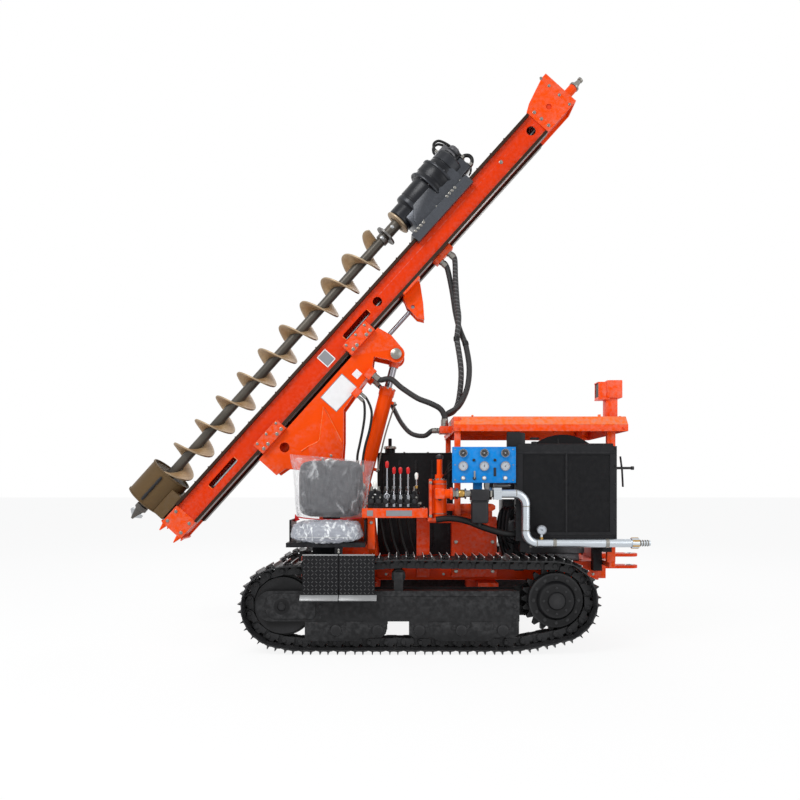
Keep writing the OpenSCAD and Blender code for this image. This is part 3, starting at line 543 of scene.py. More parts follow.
LEAN = math.radians(48.0)
PIVOT = (-0.387, 0.0, 1.238)
LIFT_FOOT = (-0.165, 0.0, 1.075)
LUG = (0.914, 0.183)
AUGER_UP = 0.837
WORLD = Place(ORIGIN, AHEAD, FAR, UP)
MAST = Place(PIVOT, (math.cos(LEAN), 0.0, math.sin(LEAN)), FAR, (-math.sin(LEAN), 0.0, math.cos(LEAN)))


class Sheet:
    """A mesh under construction in one place."""

    def __init__(self, place: Place = WORLD) -> None:
        """Start an empty mesh in a place."""
        self.mesh = bmesh.new()
        self.place = place

    def block(self, low: Point, high: Point, edge: float = 0.0, steps: int = 2) -> "Sheet":
        """Add a box with rounded edges.

        Args:
            low: Its lowest corner.
            high: Its highest corner.
            edge: The radius of its edges.
            steps: The segments of each edge.

        Returns:
            This sheet.
        """
        made = bmesh.ops.create_cube(self.mesh, size=1.0)["verts"]
        for vert in made:
            vert.co = Vector([l + (h - l) * (c + 0.5) for l, h, c in zip(low, high, vert.co)])
        self._soften(made, edge, steps)
        return self

    def _soften(self, verts: Iterable[bmesh.types.BMVert], edge: float, steps: int) -> None:
        """Round the edges between these verts that turn by 30 degrees or more."""
        if edge <= 0.0:
            return
        chosen = set(verts)
        edges = [e for e in self.mesh.edges if e.verts[0] in chosen and e.verts[1] in chosen
                 and len(e.link_faces) == 2 and e.calc_face_angle(0.0) > 0.5]
        bmesh.ops.bevel(self.mesh, geom=edges, offset=edge, segments=steps, profile=0.5,
                        affect="EDGES", clamp_overlap=True)

    def prism(self, outline: Sequence[tuple[float, float]], low: float, high: float,
              axes: str = "xz", edge: float = 0.0, steps: int = 2) -> "Sheet":
        """Add an outline drawn in two axes and pushed along the third.

        Args:
            outline: The outline's corners.
            low: Where the push starts.
            high: Where it ends.
            axes: The two axes of the outline.
            edge: The radius of the edges.
            steps: The segments of each edge.

        Returns:
            This sheet.
        """
        third = ({0, 1, 2} - {"xyz".index(a) for a in axes}).pop()
        rings = []
        for depth in (low, high):
            ring = []
            for corner in outline:
                spot = [0.0, 0.0, 0.0]
                spot["xyz".index(axes[0])], spot["xyz".index(axes[1])], spot[third] = *corner, depth
                ring.append(self.mesh.verts.new(spot))
            rings.append(ring)
        sides = [self.mesh.faces.new([rings[0][i], rings[0][j], rings[1][j], rings[1][i]])
                 for i, j in ((i, (i + 1) % len(outline)) for i in range(len(outline)))]
        caps = [self.mesh.faces.new(rings[0][::-1]), self.mesh.faces.new(rings[1])]
        bmesh.ops.recalc_face_normals(self.mesh, faces=sides + caps)
        self._soften(rings[0] + rings[1], edge, steps)
        return self

    def lathe(self, profile: Sequence[tuple[float, float]], centre: Point = ORIGIN,
              axis: Point = UP, sides: int = 32) -> "Sheet":
        """Add a turned shape.

        Args:
            profile: Pairs of height along the axis and radius, from one end to the other.
            centre: The point where the height is 0.
            axis: The direction of the axis.
            sides: The number of sides.

        Returns:
            This sheet.
        """
        turn = Vector(UP).rotation_difference(Vector(axis)).to_matrix().to_4x4()
        put = Matrix.Translation(centre) @ turn
        rings = []
        for height, radius in profile:
            if radius <= 1e-6:
                rings.append([self.mesh.verts.new(put @ Vector((0.0, 0.0, height)))])
                continue
            rings.append([self.mesh.verts.new(put @ Vector((
                radius * math.cos(k * math.tau / sides), radius * math.sin(k * math.tau / sides), height,
            ))) for k in range(sides)])
        made = []
        for lower, upper in zip(rings, rings[1:]):
            for k in range(sides):
                a, b = lower[k % len(lower)], lower[(k + 1) % len(lower)]
                c, d = upper[(k + 1) % len(upper)], upper[k % len(upper)]
                corners = list(dict.fromkeys([a, b, c, d]))
                if len(corners) > 2:
                    made.append(self.mesh.faces.new(corners))
        for ring, flip in ((rings[0], True), (rings[-1], False)):
            if len(ring) > 1:
                made.append(self.mesh.faces.new(ring[::-1] if flip else ring))
        bmesh.ops.recalc_face_normals(self.mesh, faces=made)
        return self

    def pipe(self, route: Sequence[Point], radius: float, sides: int = 16, closed_ends: bool = True) -> "Sheet":
        """Add a tube along a route, with a flat map of its length and girth in metres.

        Args:
            route: The centre line's points.
            radius: The tube's radius.
            sides: The number of sides.
            closed_ends: Whether its two ends are capped.

        Returns:
            This sheet.
        """
        points = [Vector(p) for p in route]
        flat = self.mesh.loops.layers.uv.get("along") or self.mesh.loops.layers.uv.new("along")
        last = len(points) - 1
        heads = [(points[min(i + 1, last)] - points[max(i - 1, 0)]).normalized() for i in range(last + 1)]
        side = heads[0].orthogonal().normalized()
        rings, reach = [], [0.0]
        for i, (point, head) in enumerate(zip(points, heads)):
            side = (side - head * side.dot(head)).normalized()
            other = head.cross(side)
            rings.append([self.mesh.verts.new(point + radius * (
                math.cos(k * math.tau / sides) * side + math.sin(k * math.tau / sides) * other
            )) for k in range(sides)])
            if i:
                reach.append(reach[-1] + (point - points[i - 1]).length)
        girth = math.tau * radius / sides
        for i in range(last):
            for k in range(sides):
                n = (k + 1) % sides
                face = self.mesh.faces.new([rings[i][k], rings[i][n], rings[i + 1][n], rings[i + 1][k]])
                for loop, (u, v) in zip(face.loops, ((i, k), (i, k + 1), (i + 1, k + 1), (i + 1, k))):
                    loop[flat].uv = (reach[u], girth * v)
        if closed_ends:
            self.mesh.faces.new(rings[0][::-1])
            self.mesh.faces.new(rings[-1])
        return self

    def turned(self, place: Place) -> "Sheet":
        """Draw the shapes that follow in another place, with those so far kept where they are."""
        self._settle()
        self.place = place
        return self

    def _settle(self) -> None:
        """Move the shapes that aren't settled yet from their place to the machine's frame."""
        layer = self.mesh.verts.layers.int.get("settled") or self.mesh.verts.layers.int.new("settled")
        matrix = self.place.matrix()
        for vert in self.mesh.verts:
            if not vert[layer]:
                vert.co = matrix @ vert.co
                vert[layer] = 1

    def result(self, name: str) -> bpy.types.Mesh:
        """Return the finished mesh in the machine's frame."""
        self._settle()
        mesh = bpy.data.meshes.new(name)
        self.mesh.to_mesh(mesh)
        self.mesh.free()
        mesh.attributes.remove(mesh.attributes["settled"])
        return mesh


def smooth_route(points: Sequence[Point], parts: int) -> list[Point]:
    """Return a Catmull-Rom route through points.

    Args:
        points: The points that the route passes.
        parts: The number of steps between two points.

    Returns:
        The points of the finer route.
    """
    spots = [Vector(p) for p in points]
    route = []
    for i in range(len(spots) - 1):
        a, b, c, d = spots[max(i - 1, 0)], spots[i], spots[i + 1], spots[min(i + 2, len(spots) - 1)]
        for k in range(parts):
            t = k / parts
            route.append(tuple(0.5 * (
                2 * b + (c - a) * t + (2 * a - 5 * b + 4 * c - d) * t * t + (3 * b - a - 3 * c + d) * t ** 3
            )))
    return [*route, tuple(spots[-1])]


# Patterns that Geometry Nodes make


@dataclass(frozen=True)
class Station:
    """Where one copy of a part goes, and how it is turned and scaled."""

    spot: Point
    up: Point
    forward: Point
    size: float = 1.0


class Pattern:
    """A geometry tree with named inputs that ends in plain geometry with a finish."""

    def __init__(self, name: str, inputs: dict[str, str]) -> None:
        """Start a tree.

        Args:
            name: The tree's name.
            inputs: The type of each input besides the geometry and the finish.
        """
        self.nodes = bpy.data.node_groups.new(name, "GeometryNodeTree")
        self.tree = Tree(self.nodes)
        kinds = {"Geometry": "NodeSocketGeometry", **inputs, "Finish": "NodeSocketMaterial"}
        for label, kind in kinds.items():
            self.nodes.interface.new_socket(label, in_out="INPUT", socket_type=kind)
        self.nodes.interface.new_socket("Geometry", in_out="OUTPUT", socket_type="NodeSocketGeometry")
        self.given = self.tree.add("NodeGroupInput")

    def close(self, geometry: Wire) -> None:
        """End the tree in realized instances with the finish on them."""
        real = self.tree.add("GeometryNodeRealizeInstances", {"Geometry": geometry})[0]
        dressed = self.tree.add("GeometryNodeSetMaterial", {"Geometry": real, "Material": self.given["Finish"]})
        self.tree.add("NodeGroupOutput", {0: dressed[0]})

    def make(self, name: str, base: bpy.types.Mesh, finish: Finish, values: dict[str, object]) -> bpy.types.Mesh:
        """Run the tree once.

        Args:
            name: The new mesh's name.
            base: The mesh that the tree starts from.
            finish: The finish of the result.
            values: The value of each named input.

        Returns:
            A plain mesh.
        """
        carrier = bpy.data.objects.new(name + "_carrier", base)
        bpy.context.scene.collection.objects.link(carrier)
        modifier = carrier.modifiers.new("pattern", "NODES")
        modifier.node_group = self.nodes
        given = {**values, "Finish": finish.material()}
        for item in self.nodes.interface.items_tree:
            if item.in_out == "INPUT" and item.name in given:
                modifier[item.identifier] = given[item.name]
        seen = carrier.evaluated_get(bpy.context.evaluated_depsgraph_get())
        mesh = bpy.data.meshes.new_from_object(seen)
        mesh.name = name
        bpy.data.objects.remove(carrier)
        return mesh


class Copies(Pattern):
    """One copy of a part at each station, spun at random where it is round."""

    def __init__(self) -> None:
        """Build the tree."""
        super().__init__("copies", {"Part": "NodeSocketObject", "Spin": "NodeSocketFloat", "Seed": "NodeSocketInt"})
        add = self.tree.add
        up, forward, size = (add("GeometryNodeInputNamedAttribute", {"Name": label}, data_type=kind)[0]
                             for label, kind in (("up", "FLOAT_VECTOR"), ("forward", "FLOAT_VECTOR"),
                                                 ("size", "FLOAT")))
        turn = add("FunctionNodeAxesToRotation", {0: up, 1: forward}, primary_axis="Z", secondary_axis="X")[0]
        angle = add("FunctionNodeRandomValue", {"Min": 0.0, "Max": self.given["Spin"], "Seed": self.given["Seed"]},
                    data_type="FLOAT")[1]
        spin = add("FunctionNodeAxisAngleToRotation", {"Axis": UP, "Angle": angle})[0]
        turn = add("FunctionNodeRotateRotation", {0: turn, 1: spin}, rotation_space="LOCAL")[0]
        part = add("GeometryNodeObjectInfo", {"Object": self.given["Part"], "As Instance": True})["Geometry"]
        self.close(add("GeometryNodeInstanceOnPoints", {
            "Points": self.given["Geometry"], "Instance": part, "Rotation": turn, "Scale": size})[0])

    def at(self, name: str, part: bpy.types.Mesh, stations: Sequence[Station], finish: Finish,
           spin: float = 0.0, seed: int = 7) -> bpy.types.Mesh:
        """Copy a part to stations.

        Args:
            name: The new mesh's name.
            part: The part, drawn at the origin with +Z up and +X forward.
            stations: Where the copies go.
            finish: Their finish.
            spin: The most that a copy is spun about its own axis, in radians.
            seed: The seed of the spin.

        Returns:
            One plain mesh of all copies.
        """
        base = bpy.data.meshes.new(name + "_stations")
        base.from_pydata([s.spot for s in stations], [], [])
        for label, kind in (("up", "FLOAT_VECTOR"), ("forward", "FLOAT_VECTOR"), ("size", "FLOAT")):
            layer = base.attributes.new(label, kind, "POINT")
            for value, station in zip(layer.data, stations):
                if kind == "FLOAT":
                    value.value = getattr(station, label)
                else:
                    value.vector = getattr(station, label)
        holder = bpy.data.objects.new(name + "_part", part)
        bpy.context.scene.collection.objects.link(holder)
        mesh = self.make(name, base, finish, {"Part": holder, "Spin": spin, "Seed": seed})
        bpy.data.objects.remove(holder)
        return mesh


class Slats(Pattern):
    """Equal bars side by side, such as cooler fins, treads and ticks."""

    def __init__(self) -> None:
        """Build the tree."""
        super().__init__("slats", {"Count": "NodeSocketInt", "First": "NodeSocketVector",
                                   "Step": "NodeSocketVector", "Size": "NodeSocketVector"})
        add = self.tree.add
        line = add("GeometryNodeMeshLine", {"Count": self.given["Count"], "Start Location": self.given["First"],
                                            "Offset": self.given["Step"]}, mode="OFFSET")[0]
        bar = add("GeometryNodeMeshCube", {"Size": self.given["Size"]})[0]
        self.close(add("GeometryNodeInstanceOnPoints", {"Points": line, "Instance": bar})[0])

    def row(self, name: str, count: int, first: Point, step: Point, size: Point, finish: Finish) -> bpy.types.Mesh:
        """Return a row of bars.

        Args:
            name: The new mesh's name.
            count: The number of bars.
            first: The middle of the first bar.
            step: The way from one bar to the next.
            size: The size of a bar.
            finish: Their finish.

        Returns:
            A plain mesh.
        """
        return self.make(name, bpy.data.meshes.new(name), finish, {
            "Count": count, "First": first, "Step": step, "Size": size})


class Studs(Pattern):
    """A chequer tread: studs on a grid, turned one way and the other."""

    def __init__(self) -> None:
        """Build the tree."""
        super().__init__("studs", {"Part": "NodeSocketObject", "Wide": "NodeSocketFloat", "High": "NodeSocketFloat",
                                   "Columns": "NodeSocketInt", "Rows": "NodeSocketInt", "Middle": "NodeSocketVector"})
        add = self.tree.add
        grid = add("GeometryNodeMeshGrid", {
            "Size X": self.given["Wide"], "Size Y": self.given["High"],
            "Vertices X": self.given["Columns"], "Vertices Y": self.given["Rows"]})[0]
        index = add("GeometryNodeInputIndex")[0]
        column = add("ShaderNodeMath", {0: index / self.given["Rows"]}, operation="FLOOR")[0]
        odd = add("ShaderNodeMath", {0: index + column, 1: 2.0}, operation="MODULO")[0]
        turn = add("ShaderNodeCombineXYZ", {"Z": odd * (math.pi / 2) + math.pi / 4})[0]
        part = add("GeometryNodeObjectInfo", {"Object": self.given["Part"], "As Instance": True})["Geometry"]
        laid = add("GeometryNodeInstanceOnPoints", {"Points": grid, "Instance": part, "Rotation": turn})[0]
        upright = add("GeometryNodeTransform", {
            "Geometry": laid, "Translation": self.given["Middle"], "Rotation": (math.pi / 2, 0.0, 0.0)})[0]
        self.close(upright)


class Helix(Pattern):
    """The middle sheet of a screw flight round an axis along +X."""

    def __init__(self) -> None:
        """Build the tree."""
        super().__init__("helix", {"Start": "NodeSocketFloat", "Reach": "NodeSocketFloat", "Turns": "NodeSocketFloat",
                                   "Phase": "NodeSocketFloat", "Core": "NodeSocketFloat", "Rim": "NodeSocketFloat",
                                   "Lift": "NodeSocketFloat", "Lean": "NodeSocketVector", "Pivot": "NodeSocketVector",
                                   "Steps": "NodeSocketInt"})
        add, given = self.tree.add, self.given
        grid = add("GeometryNodeMeshGrid", {
            "Size X": 1.0, "Size Y": 1.0, "Vertices X": given["Steps"], "Vertices Y": 4})[0]
        flat = add("ShaderNodeSeparateXYZ", {0: add("GeometryNodeInputPosition")[0]})
        along, out = flat[0] + 0.5, flat[1] + 0.5
        angle = along * given["Turns"] * math.tau + given["Phase"]
        radius = given["Core"] + out * (given["Rim"] - given["Core"])
        turned = add("ShaderNodeMath", {0: angle}, operation="COSINE")[0]
        spot = add("ShaderNodeCombineXYZ", {
            "X": given["Start"] + along * given["Reach"], "Y": radius * turned,
            "Z": given["Lift"] + radius * angle.wave()})[0]
        bent = add("GeometryNodeSetPosition", {"Geometry": grid, "Position": spot})[0]
        self.close(add("GeometryNodeTransform", {
            "Geometry": bent, "Translation": given["Pivot"], "Rotation": given["Lean"]})[0])


class Stitches(Pattern):
    """Short threads along a line."""

    def __init__(self) -> None:
        """Build the tree."""
        super().__init__("stitches", {"Part": "NodeSocketObject", "Step": "NodeSocketFloat"})
        add = self.tree.add
        curve = add("GeometryNodeMeshToCurve", {"Mesh": self.given["Geometry"]})[0]
        even = add("GeometryNodeResampleCurve", {"Curve": curve, "Length": self.given["Step"]}, mode="LENGTH")[0]
        tangent = add("GeometryNodeInputTangent")[0]
        turn = add("FunctionNodeAlignRotationToVector", {"Vector": tangent}, axis="X")[0]
        part = add("GeometryNodeObjectInfo", {"Object": self.given["Part"], "As Instance": True})["Geometry"]
        self.close(add("GeometryNodeInstanceOnPoints", {"Points": even, "Instance": part, "Rotation": turn})[0])


class Shop:
    """The patterns and small parts that every sub-assembly shares."""

    def __init__(self) -> None:
        """Build the patterns and the fasteners."""
        self.copies = Copies()
        self.slats = Slats()
        self.studs = Studs()
        self.helix = Helix()
        self.stitches = Stitches()
        self.hex_bolt = self._hex_bolt()
        self.cap_screw = Sheet().lathe(
            [(0.0, 1.0), (0.85, 1.0), (1.0, 0.86), (1.0, 0.55), (0.55, 0.5), (0.55, 0.0)],
            sides=14).result("cap_screw")
        self.dome = Sheet().lathe([(0.0, 1.0), (0.35, 0.92), (0.6, 0.62), (0.7, 0.0)], sides=12).result("dome")

    @staticmethod
    def _hex_bolt() -> bpy.types.Mesh:
        """Return a hexagon head on a washer, one metre across its corners' radius."""
        sheet = Sheet().lathe([(0.0, 1.25), (0.12, 1.25), (0.16, 1.18)], sides=16)
        corners = [(math.cos(k * math.pi / 3), math.sin(k * math.pi / 3)) for k in range(6)]
        return sheet.prism(corners, 0.16, 0.86, "xy", edge=0.07, steps=1).result("hex_bolt")


def stations(place: Place, up: Point, size: float, points: Iterable[Point]) -> list[Station]:
    """Return stations that face one way in a place.

    Args:
        place: The axes that the points and the direction are given in.
        up: The direction that each part faces.
        size: The parts' scale.
        points: Where the parts go.

    Returns:
        The stations in the machine's frame.
    """
    turn = place.matrix().to_3x3()
    forward = turn @ Vector(AHEAD if abs(up[0]) < 0.9 else FAR)
    return [Station(place.point(*p), tuple(turn @ Vector(up)), tuple(forward), size) for p in points]


def between(side: int, near: float, far: float) -> list[float]:
    """Return two distances from the middle plane on one side, the lower value first."""
    return sorted((side * near, side * far))


def around(centre: Point, axis: str, radius: float, count: int, phase: float = 0.0) -> list[Point]:
    """Return points evenly on a circle about an axis.

    Args:
        centre: The circle's middle.
        axis: The letter of the axis.
        radius: The circle's radius.
        count: The number of points.
        phase: The angle of the first point, in radians.

    Returns:
        The points.
    """
    first, second = [k for k in range(3) if k != "xyz".index(axis)]
    points = []
    for k in range(count):
        spot = list(centre)
        spot[first] += radius * math.cos(phase + k * math.tau / count)
        spot[second] += radius * math.sin(phase + k * math.tau / count)
        points.append(tuple(spot))
    return points


# Sub-assemblies


@dataclass
class Assembly:
    """A sub-assembly that builds its pieces and dresses them."""

    shop: Shop
    home: Body = Body.CHASSIS

    def build(self) -> None:
        """Make every piece."""
        raise NotImplementedError

    def show(self, name: str, mesh: bpy.types.Mesh, finish: Finish, replaces: Sequence[str] = (), edge: float = 0.0,
             steps: int = 2, smooth: float = 38.0, body: Union[Body, None] = None) -> bpy.types.Object:
        """Put one finished piece in the scene.

        Args:
            name: The piece's name.
            mesh: Its mesh, in the machine's frame.
            finish: Its finish.
            replaces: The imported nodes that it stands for.
            edge: The radius of its edges.
            steps: The segments of each edge.
            smooth: The angle up to which its faces shade as one.
            body: The body that carries it, where it isn't this sub-assembly's own.

        Returns:
            The piece's object.
        """
        piece = bpy.data.objects.new(name, mesh)
        bpy.context.scene.collection.objects.link(piece)
        if not mesh.materials or mesh.materials[0] is None:
            mesh.materials.clear()
            mesh.materials.append(finish.material())
        if len(mesh.polygons):
            mesh.shade_smooth()
            mesh.set_sharp_from_angle(angle=math.radians(smooth))
        if edge > 0:
            bevel = piece.modifiers.new("edges", "BEVEL")
            bevel.width, bevel.segments, bevel.limit_method = edge, steps, "ANGLE"
            bevel.angle_limit = math.radians(32.0)
            bevel.harden_normals = True
            bevel.use_clamp_overlap = True
        if replaces:
            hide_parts(*replaces)
        carrier = body or self.home
        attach(piece, carrier.value)
        LOG.info("%s: %d faces, on %s", name, len(mesh.polygons), carrier.value)
        return piece

    def piece(self, name: str, sheet: Sheet, finish: Finish, *nodes: str, edge: float = 0.0,
              body: Union[Body, None] = None) -> bpy.types.Object:
        """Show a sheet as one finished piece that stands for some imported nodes."""
        return self.show(name, sheet.result(name), finish, nodes, edge, body=body)

    def dress(self, node: str, finish: Finish, edge: float = 0.002,
              rules: Sequence[tuple[Callable[[Vector, Vector], bool], Finish]] = (),
              steps: int = 2) -> bpy.types.Object:
        """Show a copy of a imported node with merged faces, rounded edges and a finish.

        Args:
            node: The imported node.
            finish: The finish of its solids.
            edge: The radius of its edges.
            rules: Other finishes, each with a test on a solid's lowest and highest corner.
            steps: The segments of each edge.

        Returns:
            The piece's object.
        """
        work = bmesh.new()
        work.from_mesh(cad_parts[node].data)
        bmesh.ops.remove_doubles(work, verts=work.verts, dist=2e-5)
        bmesh.ops.dissolve_degenerate(work, dist=1e-5, edges=work.edges)
        self._split(work, rules)
        bmesh.ops.dissolve_limit(work, angle_limit=math.radians(0.6), verts=work.verts, edges=work.edges,
                                 delimit={"MATERIAL"})
        mesh = bpy.data.meshes.new(node + "_dressed")
        work.to_mesh(mesh)
        work.free()
        if "custom_normal" in mesh.attributes:
            mesh.attributes.remove(mesh.attributes["custom_normal"])
        mesh.materials.clear()
        for each in (finish, *(look for _, look in rules)):
            mesh.materials.append(each.material())
        return self.show(node + "_dressed", mesh, finish, (node,), edge, steps)

    @staticmethod
    def _split(work: bmesh.types.BMesh, rules: Sequence[tuple[Callable[[Vector, Vector], bool], Finish]]) -> None:
        """Give each separate solid of a mesh the finish that its corners call for."""
        for face in work.faces:
            face.material_index = 0
        if not rules:
            return
        left = set(work.faces)
        while left:
            island, edge = set(), [left.pop()]
            while edge:
                face = edge.pop()
                island.add(face)
                near = {f for v in face.verts for f in v.link_faces} & left
                left -= near
                edge.extend(near)
            spots = [v.co for f in island for v in f.verts]
            low = Vector([min(s[k] for s in spots) for k in range(3)])
            high = Vector([max(s[k] for s in spots) for k in range(3)])
            for index, (test, _) in enumerate(rules, 1):
                if test(low, high):
                    for face in island:
                        face.material_index = index
                    break

    def bolts(self, name: str, spots: Sequence[Station], finish: Finish = Look.ZINC,
              part: str = "hex_bolt") -> bpy.types.Object:
        """Show fasteners at stations."""
        mesh = self.shop.copies.at(name, getattr(self.shop, part), spots, finish, spin=math.tau)
        return self.show(name, mesh, finish)


@dataclass
class Studio:
    """The camera, the soft lights and the pale floor."""

    spot: Point = (0.117, -5.55, 1.09)
    focal: float = 33.75
    sensor: float = 36.0
    lift: float = 0.10625
    floor_half: float = 60.0
    sky: float = 0.62

    def build(self) -> None:
        """Make the camera, the lamps, the world and the floor."""
        lens = bpy.data.cameras.new("camera")
        lens.lens, lens.sensor_width, lens.sensor_fit, lens.shift_y = self.focal, self.sensor, "HORIZONTAL", self.lift
        camera = bpy.data.objects.new("camera", lens)
        camera.location = self.spot
        camera.rotation_euler = (math.pi / 2, 0, 0)
        bpy.context.scene.collection.objects.link(camera)
        bpy.context.scene.camera = camera
        bpy.context.scene.view_settings.view_transform = "Standard"
        self._lamp("key", (-3.4, -5.2, 6.2), 3.2, 330.0)
        self._lamp("fill", (4.8, -4.6, 2.6), 4.0, 90.0)
        self._lamp("back", (1.0, 5.6, 5.5), 4.0, 150.0)
        self._world()
        self._floor()

    def _lamp(self, name: str, spot: Point, size: float, power: float) -> None:
        """Add a square soft lamp that faces the middle of the rig."""
        lamp = bpy.data.lights.new(name, "AREA")
        lamp.size, lamp.energy = size, power
        holder = bpy.data.objects.new(name, lamp)
        holder.location = spot
        holder.rotation_euler = (Vector((0, 0, 1.5)) - Vector(spot)).to_track_quat("-Z", "Y").to_euler()
        bpy.context.scene.collection.objects.link(holder)

    @staticmethod
    def _seen(tree: Tree) -> Wire:
        """Return 1 for rays that show the background, and 0 for those that light."""
        path = tree.add("ShaderNodeLightPath")
        return (path["Is Camera Ray"] + path["Is Glossy Ray"] + path["Is Transmission Ray"]).held()

    def _world(self) -> None:
        """Make a world that is white to the camera and soft as a light."""
        world = bpy.data.worlds.new("studio")
        world.use_nodes = True
        world.node_tree.nodes.clear()
        tree = Tree(world.node_tree)
        soft = tree.add("ShaderNodeBackground", {"Color": (0.96, 0.98, 1.0, 1.0), "Strength": self.sky})[0]
        white = tree.add("ShaderNodeBackground", {"Color": (1.0, 1.0, 1.0, 1.0), "Strength": 1.0})[0]
        tree.add("ShaderNodeOutputWorld", {
            "Surface": tree.add("ShaderNodeMixShader", {0: self._seen(tree), 1: soft, 2: white})[0]})
        bpy.context.scene.world = world

    def _floor(self) -> None:
        """Make a pale floor that keeps the rig's shadow."""
        mesh = bpy.data.meshes.new("floor")
        half = self.floor_half
        mesh.from_pydata([(-half, -half, 0), (half, -half, 0), (half, half, 0), (-half, half, 0)], [], [(0, 1, 2, 3)])
        floor = bpy.data.objects.new("floor", mesh)
        bpy.context.scene.collection.objects.link(floor)
        material = bpy.data.materials.new("floor")
        material.use_nodes = True
        material.node_tree.nodes.clear()
        tree = Tree(material.node_tree)
        matt = tree.add("ShaderNodeBsdfDiffuse", {"Color": (0.9, 0.9, 0.9, 1.0)})[0]
        white = tree.add("ShaderNodeEmission", {"Color": (1.0, 1.0, 1.0, 1.0), "Strength": 1.0})[0]
        tree.add("ShaderNodeOutputMaterial", {
            "Surface": tree.add("ShaderNodeMixShader", {0: self._seen(tree) * 0.88, 1: matt, 2: white})[0]})
        mesh.materials.append(material)


@dataclass(frozen=True)
class HoseRun:
    """One free hose: its size, finish, bodies and the points that it passes."""

    name: str
    radius: float
    finish: Finish
    bodies: tuple[Body, ...]
    points: tuple[Point, ...]
    split: int = 0


def millimetres(*points: Point) -> tuple[Point, ...]:
    """Return points given in millimetres, in metres."""
    return tuple(tuple(c / 1000 for c in p) for p in points)


def leave(a: float, y: float, b: float) -> tuple[Point, ...]:
    """Return a hose's first two points, square off the mast, from millimetres."""
    return (MAST.point(a / 1000, y / 1000, (b - 0.1) / 1000), MAST.point(a / 1000, y / 1000, (b - 55) / 1000))


